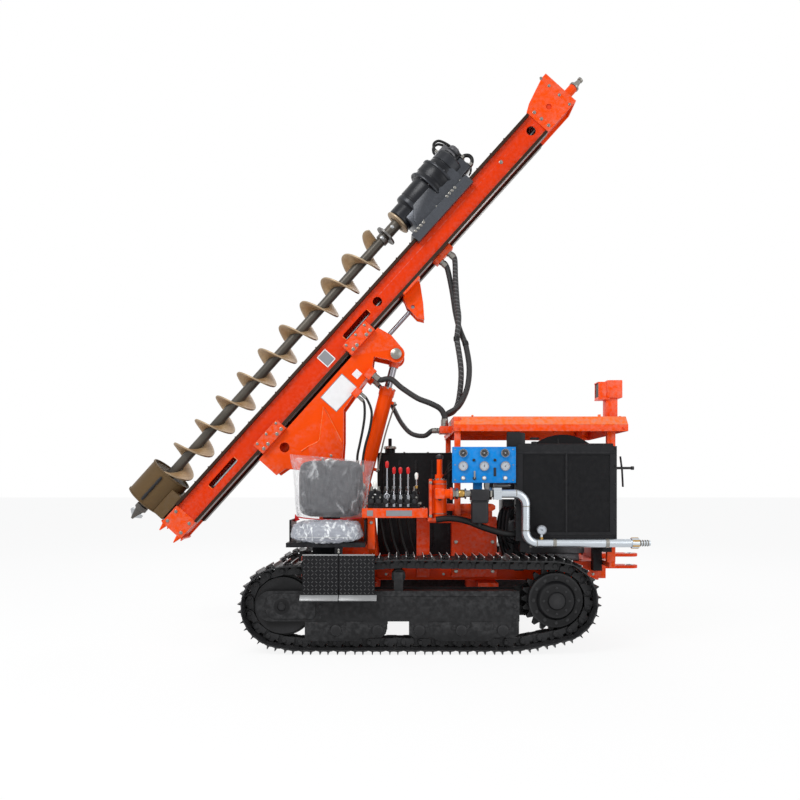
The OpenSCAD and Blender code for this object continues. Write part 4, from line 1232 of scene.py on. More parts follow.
@dataclass
class Hoses(Assembly):
    """The free hydraulic hoses between the carrier, the saddle and the mast."""

    steps: int = 5

    def runs(self) -> list[HoseRun]:
        """Return the six hoses, each from its upper gland to its lower one."""
        tall, low = (Body.MAST, Body.SADDLE, Body.CHASSIS), (Body.SADDLE, Body.CHASSIS)
        return [
            HoseRun("hose_a", 0.02, Look.SLEEVE, tall, leave(1650, -33, 400) + millimetres(
                (498, -50, 2520), (520, -90, 2350), (545, -140, 2220), (585, -190, 2100), (608, -230, 1930),
                (590, -260, 1770), (530, -270, 1645), (450, -270, 1590), (430, -270, 1550), (430, -270, 1500)), 5),
            HoseRun("hose_b", 0.02, Look.SPIRAL, tall, leave(1735, -33, 400) + millimetres(
                (522, -75, 2600), (530, -130, 2400), (537, -185, 2280), (520, -215, 2130), (550, -235, 1900),
                (535, -225, 1700), (500, -225, 1615), (445, -222, 1585), (430, -220, 1550), (430, -220, 1500)), 5),
            HoseRun("hose_c", 0.02, Look.SLEEVE, low, leave(690, -138, 200) + millimetres(
                (50, -170, 1850), (130, -220, 1780), (240, -280, 1700), (330, -315, 1660), (400, -315, 1620),
                (430, -315, 1560), (430, -315, 1500))),
            HoseRun("hose_d", 0.017, Look.SLEEVE, low, leave(680, 138, 200) + millimetres(
                (10, 120, 1780), (70, 60, 1660), (130, -60, 1540), (200, -150, 1460), (290, -210, 1440),
                (345, -240, 1475), (395, -240, 1475))),
            HoseRun("hose_e", 0.009, Look.RUBBER, low, leave(500, -134, 180) + millimetres(
                (-138, -136, 1600), (-150, -137, 1500), (-172, -138, 1390), (-190, -138, 1300), (-190, -138, 1215))),
            HoseRun("hose_f", 0.009, Look.RUBBER, low, leave(530, -134, 180) + millimetres(
                (-88, -136, 1620), (-100, -137, 1500), (-132, -138, 1380), (-150, -138, 1280), (-150, -138, 1185))),
        ]

    def build(self) -> None:
        """Make every hose and its fittings."""
        for run in self.runs():
            if run.split:
                upper = self._tube(run, run.name + "_upper", run.points[:run.split + 1], run.bodies[:2])
                tie = self._tie(run, run.points[run.split - 1:run.split + 2])
                self._declare(upper, run, run.points[:run.split + 1], "fitting", [tie])
                lower = self._tube(run, run.name + "_lower", run.points[run.split:], run.bodies[1:])
                self._declare(lower, run, run.points[run.split:], "object", [])
            else:
                piece = self._tube(run, run.name + "_tube", run.points, run.bodies)
                self._declare(piece, run, run.points, "object", [])
            self._ferrules(run)

    def _route(self, points: Sequence[Point]) -> list[Point]:
        """Return the fine route through points."""
        return smooth_route(points, self.steps)

    def _tube(self, run: HoseRun, name: str, points: Sequence[Point], bodies: Sequence[Body]) -> bpy.types.Object:
        """Show one tube that bends between two bodies."""
        mesh = Sheet().pipe(self._route(points), run.radius, 20).result(name)
        piece = bpy.data.objects.new(name, mesh)
        bpy.context.scene.collection.objects.link(piece)
        mesh.materials.append(run.finish.material())
        mesh.shade_smooth()
        mesh.set_sharp_from_angle(angle=math.radians(60.0))
        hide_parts(run.name)
        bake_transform(piece)
        LOG.info("%s: %d faces, from %s to %s", name, len(mesh.polygons), bodies[0].value, bodies[1].value)
        return piece

    def _declare(self, piece: bpy.types.Object, run: HoseRun, points: Sequence[Point], far_end: str,
                 pieces: Sequence[bpy.types.Object]) -> None:
        """Work out a tube's width and stiffness from its run, and keep neither."""
        2 * run.radius
        "stiff" if run.radius > 0.01 else "medium"

    def _tie(self, run: HoseRun, points: Sequence[Point]) -> bpy.types.Object:
        """Show the band round a hose where its two lengths meet."""
        head = (Vector(points[2]) - Vector(points[0])).normalized()
        radius = run.radius + 0.0015
        profile = [(-0.016, run.radius - 0.001), (-0.015, radius), (-0.011, radius + 0.0012),
                   (0.011, radius + 0.0012), (0.015, radius), (0.016, run.radius - 0.001)]
        mesh = Sheet().lathe(profile, points[1], tuple(head), 24).result(run.name + "_tie")
        return self.show(run.name + "_tie", mesh, Look.RUBBER, body=Body.SADDLE)

    def _ferrules(self, run: HoseRun) -> None:
        """Show the crimped fitting at each end of a hose."""
        radius = run.radius
        for label, ends, body in (("top", run.points[:2], run.bodies[0]),
                                  ("end", run.points[:-3:-1], run.bodies[-1])):
            head = (Vector(ends[1]) - Vector(ends[0])).normalized()
            profile = [(0.001, radius * 1.25), (0.012, radius * 1.25), (0.013, radius * 1.05), (0.018, radius * 1.05),
                       (0.019, radius + 0.003), (0.05, radius + 0.003), (0.052, radius + 0.001)]
            mesh = Sheet().lathe(profile, ends[0], tuple(head), 24).result(f"{run.name}_{label}")
            self.show(f"{run.name}_{label}", mesh, Look.ZINC, body=body)


@dataclass
class Tracks(Assembly):
    """Both tracks with their frames, wheels and rollers."""

    gauge_half: float = 0.6
    shoes: int = 46
    half_width: float = 0.15
    sprocket: tuple[float, float] = (1.13, 0.34)
    idler: tuple[float, float] = (-0.647, 0.305)
    discs: tuple[Point, ...] = ((*idler, 0.253), (-0.563, 0.15, 0.118), (0.873, 0.15, 0.118), (*sprocket, 0.253),
                                (0.107, 0.495, 0.109))
    rollers: tuple[float, ...] = (-0.297, -0.027, 0.243, 0.513, 0.783)
    guards: tuple[tuple[tuple[float, float], ...], ...] = (
        ((-0.5, 0.212), (-0.5, 0.085), (-0.48, 0.078), (-0.17, 0.078), (-0.135, 0.096), (-0.005, 0.102),
         (0.026, 0.128), (0.026, 0.212)),
        ((0.175, 0.212), (0.175, 0.118), (0.212, 0.1), (0.33, 0.1), (0.365, 0.078), (0.69, 0.078), (0.725, 0.1),
         (0.86, 0.102), (0.888, 0.128), (0.888, 0.212)))

    def build(self) -> None:
        """Make the chains, then dress the frames and the wheels."""
        joints, pitch = self._joints()
        link = self._link(pitch)
        # Thin pale strips on each shoe's grouser tips: worn steel, and a painted highlight along the top edges.
        rubbed = Sheet()
        for start, end in ((0.196, 0.237), (0.653, 0.694)):
            rubbed.block((start * pitch, -self.half_width - 0.0008, 0.0275),
                         (end * pitch, self.half_width + 0.0008, 0.0328))
        tip = rubbed.result("track_tip")
        for side, node in ((-1, "track_left"), (1, "track_right")):
            spots = []
            for (x, z), (u, w) in zip(joints, joints[1:] + joints[:1]):
                step = math.hypot(u - x, w - z)
                ahead = ((u - x) / step, 0, (w - z) / step)
                spots.append(Station((x, side * self.gauge_half, z), (ahead[2], 0, -ahead[0]), ahead))
            mesh = self.shop.copies.at(node + "_chain", link, spots, Look.TRACK)
            self.show(node + "_chain", mesh, Look.TRACK, (node,))
            mesh = self.shop.copies.at(node + "_tips", tip, spots, Look.TIP)
            self.show(node + "_tips", mesh, Look.TIP)
        self.dress("track_frames", Look.FRAME, 0.004)
        for node in ("sprockets", "idlers", "rollers"):
            self.dress(node, Look.TRACK, 0.003)
        for side, label in ((-1, "left"), (1, "right")):
            self._side(side, label)

    def _joints(self) -> tuple[list[tuple[float, float]], float]:
        """Return the pins' places, evenly round the discs, and their distance."""
        runs = []
        for (x, z, r), (u, w, q) in zip(self.discs, self.discs[1:] + self.discs[:1]):
            away = math.hypot(u - x, w - z)
            runs.append((math.atan2(w - z, u - x) - math.pi / 2 + math.asin((r - q) / away),
                         math.sqrt(away ** 2 - (r - q) ** 2)))
        legs = [(disc, runs[i - 1][0], (runs[i][0] - runs[i - 1][0]) % math.tau, runs[i][1])
                for i, disc in enumerate(self.discs)]
        pitch = sum(disc[2] * wrap + run for disc, _, wrap, run in legs) / self.shoes
        joints = []
        for k in range(self.shoes):
            reach = k * pitch
            for (x, z, r), start, wrap, run in legs:
                if reach <= r * wrap + run:
                    break
                reach -= r * wrap + run
            turn = start + min(reach / r, wrap)
            rest = max(reach - r * wrap, 0)
            joints.append((x + r * math.cos(turn) - rest * math.sin(turn),
                           z + r * math.sin(turn) + rest * math.cos(turn)))
        return joints, pitch

    def _link(self, pitch: float) -> bpy.types.Mesh:
        """Return one shoe with its two links, pin and bolts."""
        shares = ((-0.02, 0), (-0.02, 0.004), (0.14, 0.009), (0.175, 0.011), (0.198, 0.032), (0.235, 0.032),
                  (0.268, 0.011), (0.45, 0.009), (0.632, 0.011), (0.655, 0.032), (0.692, 0.032), (0.725, 0.011),
                  (0.9, 0.008), (0.985, 0.004), (0.985, 0))
        sheet = Sheet().prism([(s * pitch, h) for s, h in shares], -self.half_width, self.half_width,
                              edge=0.0012, steps=1)
        front = [(-0.018, -0.044), (-0.02, -0.03), (-0.014, -0.016), (0.2 * pitch, -0.002), (0.36 * pitch, -0.002),
                 (0.44 * pitch, -0.02), (0.62 * pitch, -0.024), (0.62 * pitch, -0.058), (0, -0.058)]
        rear = [(pitch - x, z) for x, z in front][::-1]
        for side in (-1, 1):
            for outline, near, far in ((front, 0.046, 0.058), (rear, 0.032, 0.0455)):
                sheet.prism(outline, *between(side, near, far), edge=0.0015, steps=1)
            for x in (0.33, 0.55):
                sheet.lathe([(0, 0.011), (0.009, 0.011), (0.011, 0.008)], (x * pitch, side * 0.092, 0.0095), sides=6)
        sheet.lathe([(-0.066, 0.013), (-0.064, 0.015), (0.064, 0.015), (0.066, 0.013)], (0, 0, -0.03), FAR, 12)
        return sheet.result("track_link")

    def _side(self, side: int, label: str) -> None:
        """Show the hubs, covers and bolts on the outer side of one track."""
        middle, out = side * self.gauge_half, (0, float(side), 0)
        guards = Sheet()
        for outline in self.guards:
            guards.prism(outline, *sorted((middle + side * 0.088, middle + side * 0.096)), edge=0.002)
        self.piece(f"roller_guards_{label}", guards, Look.FRAME)
        hubs = Sheet()
        for x, z, profile in (
            (*self.sprocket, [(0.06, 0.172), (0.066, 0.176), (0.074, 0.176), (0.078, 0.166), (0.078, 0.128),
                              (0.092, 0.12),
                            (0.104, 0.11), (0.106, 0.06), (0.118, 0.052), (0.12, 0)]),
            (*self.idler, [(0.09, 0.064), (0.104, 0.06), (0.108, 0.05), (0.109, 0.03), (0.116, 0.022), (0.117, 0)]),
            *((x, 0.15, [(0.098, 0.036), (0.108, 0.034), (0.112, 0.026), (0.113, 0)]) for x in self.rollers),
        ):
            hubs.lathe(profile, (x, middle, z), out, 40)
        self.piece("hubs_" + label, hubs, Look.TRACK)
        face = middle + side * 0.1005
        spots = []
        for size, proud, radius, count in ((0.01, 0.0778, 0.146, 12), (0.007, 0.105, 0.084, 8)):
            centre = (self.sprocket[0], middle + side * proud, self.sprocket[1])
            spots += stations(WORLD, out, size, around(centre, "y", radius, count))
        spots += stations(WORLD, out, 0.009, [(x, face, z) for x in (-0.4, 0.86) for z in (0.235, 0.305, 0.375)])
        spots += stations(WORLD, out, 0.008, [(x + s * 0.045, face, 0.177) for x in self.rollers for s in (-1, 1)])
        self.bolts("frame_bolts_" + label, spots, Look.TRACK)
        cover = Sheet()
        low, high = sorted((face - side * 0.0005, face + side * 0.006))
        cover.prism([(-0.36, 0.386), (-0.34, 0.404), (0.84, 0.404), (0.86, 0.386), (0.86, 0.372),
                     (-0.36, 0.372)], low, high)
        cover.prism([(-0.43, 0.245), (-0.43, 0.365), (-0.45, 0.385), (-0.7, 0.385), (-0.74, 0.365), (-0.76, 0.305),
                     (-0.74, 0.245), (-0.7, 0.225), (-0.45, 0.225)], low, high)
        self.piece("frame_covers_" + label, cover, Look.FRAME, edge=0.002)


@dataclass
class Carrier(Assembly):
    """The chassis frame, the stand that holds the mast's hinge, and the tow clevis."""

    ear: float = 0.15

    def build(self) -> None:
        """Dress the carrier and add its pins' caps, bolts and tow eyes."""
        # The frame and the tow clevis take the darker orange: painted shade.
        self.dress("chassis_frame", Look.ORANGE_DEEP, 0.004)
        self.dress("pivot_stand", Look.ORANGE, 0.003, [
            (lambda low, high: high.x - low.x < 0.07 and high.z - low.z < 0.11, Look.STEEL)])
        self.dress("tow_clevis", Look.ORANGE_DEEP, 0.003)
        spots = []
        for side in (-1, 1):
            caps = Sheet()
            reach = side * (self.ear + 0.014)
            caps.lathe([(0, 0.044), (0.006, 0.044), (0.009, 0.04), (0.009, 0.016), (0.016, 0.013), (0.017, 0)],
                       (PIVOT[0], reach, PIVOT[2]), (0, float(side), 0), 36)
            caps.lathe([(0, 0.036), (0.007, 0.036), (0.01, 0.032), (0.01, 0)],
                       (LIFT_FOOT[0], side * self.ear, LIFT_FOOT[2]), (0, float(side), 0), 32)
            self.piece(f"pin_caps_{side + 1}", caps, Look.ZINC)
            ring = around((PIVOT[0], side * (self.ear + 0.0005), PIVOT[2]), "y", 0.064, 6, 0.4)
            rail = [(x, side * 0.3305, z) for x in (-0.42, 0.02, 0.12, 0.42, 1.46) for z in (0.47, 0.52)]
            spots += stations(WORLD, (0, float(side), 0), 0.008, ring + rail)
        spots += stations(WORLD, AHEAD, 0.011, [(1.5205, y, z) for y in (-0.1, 0.1) for z in (0.47, 0.61)])
        self.bolts("carrier_bolts", spots)
        eyes = Sheet()
        for z in (0.479, 0.501, 0.565, 0.587):
            eyes.lathe([(-0.0025, 0.032), (-0.0015, 0.034), (0.0015, 0.034), (0.0025, 0.032), (0.0025, 0.0182),
                        (-0.0025, 0.0182), (-0.0025, 0.032)], (1.81, 0, z), sides=32)
        self.piece("tow_eyes", eyes, Look.STEEL)


@dataclass
class Mast(Assembly):
    """The mast with its rails, feed chain, head, foot and auger guide."""

    home: Body = Body.MAST
    half: float = 0.105
    low: float = 0.46
    high: float = 0.62
    foot: float = -1.112
    end: float = 3.138
    links: int = 73
    pitch: float = 0.0508

    def build(self) -> None:
        """Dress the mast and add its chain, plates, bolts and rims."""
        # The beam takes the darker orange: painted shade.
        self.dress("mast_beam", Look.ORANGE_MAST, 0.006, steps=3)
        self.dress("mast_rails", Look.RAIL, 0.002, [
            (lambda low, high: high.y - low.y < 0.06, Look.TRACK), (lambda low, high: low.y < 0 < high.y,
                                                                    Look.PLASTIC)])
        for node in ("mast_foot", "slide_bracket"):
            self.dress(node, Look.ORANGE, 0.003)
        self.dress("mast_head", Look.ORANGE, 0.003, [
            (lambda low, high: high.y - low.y < 0.09, Look.STEEL), (lambda low, high: high.z < 3.2, Look.PLASTIC)])
        self.dress("guide_casing", Look.KHAKI, 0.002, [(lambda low, high: high.y - low.y < 0.27, Look.PLASTIC)])
        self.dress("slide_rod", Look.CHROME, 0.001)
        self.dress("feed_cylinder", Look.STEEL, 0.001)
        self._chain()
        self._plates()
        self._fasteners()
        self._casing()

    def _chain(self) -> None:
        """Show the feed chain's outer plates and rollers along the mast's face."""
        link = Sheet()
        for side in (-1, 1):
            for near, far, first in ((0.0135, 0.0155, 0), (0.0165, 0.0185, self.pitch / 2)):
                outline = [(first + x, z) for x, z in ((-0.007, 0.003), (-0.007, 0.013), (0, 0.0165), (0.013, 0.0125),
                                                       (0.0254, 0.0165), (0.032, 0.013), (0.032, 0.003), (0, 0))]
                link.prism(outline, *between(side, near, far))
        for x in (0, self.pitch / 2):
            link.lathe([(-0.0195, 0.004), (-0.0195, 0.0052), (0.0195, 0.0052), (0.0195, 0.004)],
                       (x, 0, 0.0085), FAR, 8)
            link.lathe([(-0.012, 0.0078), (0.012, 0.0078)], (x, 0, 0.0085), FAR, 10)
        points = [(self.foot + 0.19 + k * self.pitch, 0, self.high + 0.0172) for k in range(self.links)]
        mesh = self.shop.copies.at("feed_chain", link.result("chain_link"),
                                   stations(MAST, UP, 1.0, points), Look.CHAIN)
        self.show("feed_chain", mesh, Look.CHAIN)

    def _plates(self) -> None:
        """Show the blank name plate, and the slots' rims and the cable tabs in pale orange, a painted highlight."""
        face = -self.half
        rims = Sheet(MAST)
        for middle, length in ((0.545 + self.foot, 0.289), (1.994 + self.foot, 0.275)):
            for a in (middle - length / 2 + 0.002, middle + length / 2 - 0.008):
                rims.block((a, face - 0.0008, 0.522), (a + 0.006, face + 0.0005, 0.558), 0.0005, 1)
        for a in (2.42, 2.56, 2.78):
            rims.block((a, face - 0.024, self.low - 0.0005), (a + 0.03, face + 0.01, self.low + 0.004), 0.001, 1)
        # Rims and tabs in pale orange: painted highlight.
        self.piece("mast_tabs", rims, Look.ORANGE_PALE)
        plate, rim = Sheet(MAST), Sheet(MAST)
        plate.block((0.509, face - 0.0016, 0.486), (0.597, face, 0.594), 0.0006, 1)
        rim.block((0.516, face - 0.0019, 0.493), (0.59, face - 0.001, 0.587), 0.0004, 1)
        self.piece("name_plate_rim", plate, Look.WHITE)
        self.piece("name_plate", rim, Look.GREY)
        self.bolts("name_plate_rivets", stations(MAST, NEAR, 0.0024, [
            (a, face - 0.0018, b) for a in (0.513, 0.593) for b in (0.49, 0.59)]), Look.STEEL, "dome")

    def _fasteners(self) -> None:
        """Show the bolts of the mast's foot, head and rails."""
        spots = []
        for side in (-1, 1):
            out, face = (0, float(side), 0), side * (self.half + 0.0105)
            spots += stations(MAST, out, 0.01, [(2.885, face, b) for b in (0.47, 0.54, 0.61)])
            spots += stations(MAST, out, 0.009, [(3.1, face, b) for b in (0.46, 0.56, 0.66, 0.74)])
            spots += stations(MAST, out, 0.01, [(a, side * (self.half + 0.0125), b)
                                                for a in (self.foot + 0.02, self.foot + 0.11)
                                                for b in (0.475, 0.605)])
        spots += stations(MAST, NEAR, 0.011, [(2.46, -self.half - 0.0005, 0.55)])
        spots += stations(MAST, AHEAD, 0.012, around((self.end + 0.0145, 0, 0.54), "x", 0.062, 6))
        self.bolts("mast_bolts", spots)
        rail = [(self.foot + 0.22 + k * 0.145, side * 0.13, 0.6421) for k in range(25) for side in (-1, 1)]
        self.bolts("rail_screws", stations(MAST, UP, 0.005, rail), Look.RAIL, "cap_screw")
        nose = Sheet(MAST)
        nose.lathe([(0.128, 0.03), (0.132, 0.038), (0.146, 0.038), (0.15, 0.026), (0.19, 0.0165), (0.196, 0.0165),
                    (0.198, 0.021), (0.214, 0.021), (0.216, 0.012), (0.217, 0)], (self.end, 0, 0.54), AHEAD, 32)
        self.piece("mast_nose", nose, Look.ZINC)

    def _casing(self) -> None:
        """Show the auger guide's rolled rims and its hinges."""
        rims = Sheet(MAST)
        for a in (self.foot, self.foot + 0.27):
            rims.lathe([(-0.006, 0.1562), (-0.004, 0.16), (0.004, 0.16), (0.006, 0.1562), (0.006, 0.1492),
                        (-0.006, 0.1492), (-0.006, 0.1562)], (a, 0, AUGER_UP), AHEAD, 56)
        self.piece("guide_rims", rims, Look.KHAKI)
        hinge = Sheet(MAST)
        for side in (-1, 1):
            for a in (0.03, 0.1, 0.17):
                hinge.block((self.foot + a, side * 0.15 - 0.012, 0.826),
                            (self.foot + a + 0.05, side * 0.15 + 0.012, 0.848), 0.003)
            hinge.lathe([(0.02, 0.008), (0.235, 0.008)], (self.foot, side * 0.162, AUGER_UP), AHEAD, 16)
        self.piece("guide_hinges", hinge, Look.PLASTIC)


@dataclass
class RotaryHead(Assembly):
    """The rotary head on its carriage."""

    home: Body = Body.HEAD
    axis: float = AUGER_UP

    def build(self) -> None:
        """Turn the housing and add its base, motors, bolts and hoses."""
        self.dress("head_carriage", Look.HEAD, 0.003)
        turned = Sheet(MAST).lathe([
            (1.673, 0), (1.673, 0.086), (1.681, 0.094), (1.762, 0.094), (1.773, 0.104), (1.778, 0.116), (1.786, 0.12),
            (1.81, 0.12), (1.814, 0.116), (1.826, 0.116), (1.83, 0.12), (1.962, 0.12), (1.974, 0.126), (1.977, 0.156),
            (1.981, 0.158), (1.99, 0.158), (1.994, 0.155), (1.995, 0.151), (2.004, 0.149), (2.012, 0.144),
            (2.03, 0.144),
            (2.038, 0.149), (2.098, 0.15), (2.104, 0.154), (2.108, 0.156), (2.118, 0.156), (2.122, 0.152),
            (2.124, 0.131),
            (2.13, 0.128), (2.16, 0.128), (2.164, 0.123), (2.176, 0.123), (2.18, 0.128), (2.24, 0.128), (2.252, 0.12),
            (2.256, 0.076), (2.262, 0.07), (2.32, 0.07), (2.327, 0.064), (2.327, 0)], (0, 0, self.axis), AHEAD, 64)
        self.piece("head_housing", turned, Look.HEAD, "rotary_head", edge=0.0015)
        base = Sheet(MAST)
        for side in (-1, 1):
            base.prism([(1.7, 0.672), (2.19, 0.672), (2.19, 0.777), (2.12, 0.857), (1.99, 0.857), (1.96, 0.817),
                        (1.8, 0.817), (1.72, 0.732)], *between(side, 0.102, 0.118), edge=0.005)
        base.block((1.7, -0.102, 0.672), (2.18, 0.102, 0.797), 0.008)
        base.block((2.12, -0.09, 0.692), (2.3, 0.09, 0.8), 0.014, 3)
        self.piece("head_base", base, Look.HEAD, "rotary_head")
        self._motors()
        self._bolts()
        self._fittings()

    def _motors(self) -> None:
        """Show the two motors and the valve block over them."""
        motors = Sheet(MAST)
        for y in (-0.058, 0.058):
            motors.lathe([(2.25, 0.046), (2.262, 0.048), (2.264, 0.052), (2.276, 0.052), (2.279, 0.045),
                          (2.29, 0.043), (2.294, 0.046), (2.318, 0.046), (2.326, 0.04), (2.33, 0.028), (2.33, 0)],
                         (0, y, self.axis + 0.03), AHEAD, 36)
        motors.block((2.182, -0.068, 0.897), (2.298, 0.068, 0.953), 0.004)
        motors.block((2.2, -0.05, 0.951), (2.26, 0.05, 0.958), 0.002)
        self.piece("head_motors", motors, Look.ENGINE, "rotary_head")

    def _bolts(self) -> None:
        """Show the bolts of the flanges, the motors and the carriage."""
        ring = [(1.9945, 0.137, 10, 0.006), (2.1225, 0.142, 10, 0.0065), (2.256, 0.098, 8, 0.0065)]
        spots = [s for a, radius, count, size in ring
                 for s in stations(MAST, AHEAD, size, around((a, 0, self.axis), "x", radius, count, 0.2))]
        spots += stations(MAST, BACK, 0.006, around((1.977, 0, self.axis), "x", 0.142, 12, 0.1))
        for y in (-0.058, 0.058):
            spots += stations(MAST, AHEAD, 0.005, around((2.3305, y, self.axis + 0.03), "x", 0.02, 4, 0.8))
        self.bolts("head_screws", spots, Look.ENGINE, "cap_screw")
        side = [(1.66 + k * 0.028, s * 0.1585, 0.664) for s in (-1, 1) for k in (0, 1, 2, 3, 12, 13, 14, 15)]
        spots = [s for p in side for s in stations(MAST, (0, math.copysign(1.0, p[1]), 0), 0.0085, [p])]
        feet = [(a, s * 0.135, 0.672) for s in (-1, 1) for a in (1.76, 1.9, 2.04, 2.15)]
        self.bolts("carriage_bolts", spots + stations(MAST, UP, 0.009, feet))

    def _fittings(self) -> None:
        """Show the tan collar, the ports and the jumper hoses."""
        collar = Sheet(MAST).lathe([(1.646, 0.06), (1.65, 0.092), (1.656, 0.098), (1.664, 0.098), (1.67, 0.092),
                                    (1.672, 0.06), (1.672, 0.046), (1.646, 0.046), (1.646, 0.06)],
                                   (0, 0, self.axis), AHEAD, 48)
        self.piece("head_collar", collar, Look.TAN)
        ports, hoses = Sheet(MAST), Sheet(MAST)
        for y in (-0.075, 0.075):
            route = [(2.3, y, 0.708), (2.325, y, 0.71), (2.346, y, 0.728), (2.352, y, 0.748), (2.346, y, 0.768),
                     (2.325, y, 0.786), (2.3, y, 0.788)]
            hoses.pipe(smooth_route(route, 5), 0.0135, 16)
            for b in (0.708, 0.788):
                ports.lathe([(2.298, 0.019), (2.306, 0.019), (2.308, 0.0165), (2.322, 0.0165), (2.323, 0.0145)],
                            (0, y, b), AHEAD, 6)
        for y in (-0.035, 0.035):
            ports.lathe([(0.957, 0.014), (0.962, 0.014), (0.964, 0.011), (0.978, 0.011), (0.979, 0)],
                        (2.23, y, 0), sides=16)
            route = [(2.23, y, 0.972), (2.236, y, 1.0), (2.262, y * 0.9, 1.022), (2.3, y * 0.8, 1.01),
                     (2.322, y * 0.7, 0.96), (2.33, y * 0.65, 0.9), (2.326, y * 0.6, 0.862)]
            hoses.pipe(smooth_route(route, 5), 0.0095, 14)
        self.piece("head_jumpers", hoses, Look.RUBBER, "head_hoses")
        self.piece("head_ports", ports, Look.ZINC)


@dataclass
class Screw(Assembly):
    """The auger: its shaft, coupling, flight and pilot point."""

    home: Body = Body.AUGER
    thickness: float = 0.012
    start: float = -1.148
    turns: float = 269 / 24
    pitch: float = 0.232
    core: float = 0.0355
    rim: float = 0.136

    def build(self) -> None:
        """Make the flight by its rule and dress the shaft."""
        self.dress("auger_shaft", Look.SHAFT, 0.002)
        mesh = self.shop.helix.make("auger_screw", bpy.data.meshes.new("auger_seed"), Look.TAN, {
            "Start": self.start, "Reach": self.turns * self.pitch, "Turns": self.turns, "Phase": math.radians(60.0),
            "Core": self.core, "Rim": self.rim, "Lift": AUGER_UP, "Lean": (0, -LEAN, 0), "Pivot": PIVOT,
            "Steps": 620})
        flight = self.show("auger_screw", mesh, Look.TAN, ("auger_flight",))
        thick = flight.modifiers.new("thickness", "SOLIDIFY")
        thick.thickness, thick.offset = self.thickness, 0
        rim = flight.modifiers.new("edges", "BEVEL")
        rim.width, rim.segments, rim.limit_method, rim.angle_limit = 0.0025, 2, "ANGLE", math.radians(50.0)
        collars = Sheet(MAST)
        for a in (-1.194, 1.47):
            collars.lathe([(a, 0.0352), (a, 0.043), (a + 0.004, 0.046), (a + 0.034, 0.046), (a + 0.038, 0.043),
                           (a + 0.038, 0.0352), (a, 0.0352)], (0, 0, AUGER_UP), AHEAD, 32)
        collars.lathe([(1.519, 0.06), (1.521, 0.082), (1.534, 0.082), (1.537, 0.078), (1.537, 0.0412),
                       (1.519, 0.0412), (1.519, 0.06)], (0, 0, AUGER_UP), AHEAD, 6)
        self.piece("auger_collars", collars, Look.SHAFT, edge=0.0015)
        point = Sheet(MAST)
        for side in (-1, 1):
            point.prism([(-1.215, AUGER_UP), (-1.215, AUGER_UP + side * 0.05), (-1.238, AUGER_UP + side * 0.052),
                         (-1.262, AUGER_UP + side * 0.018), (-1.283, AUGER_UP + side * 0.004),
                         (-1.283, AUGER_UP)][::side], -0.006, 0.006, edge=0.0015)
        self.piece("auger_point", point, Look.STEEL)
        pins = stations(MAST, NEAR, 0.01, [(1.6, -0.041, AUGER_UP), (1.49, -0.046, AUGER_UP)])
        pins += stations(MAST, FAR, 0.01, [(1.6, 0.041, AUGER_UP), (1.49, 0.046, AUGER_UP)])
        self.bolts("auger_pins", pins, Look.STEEL)


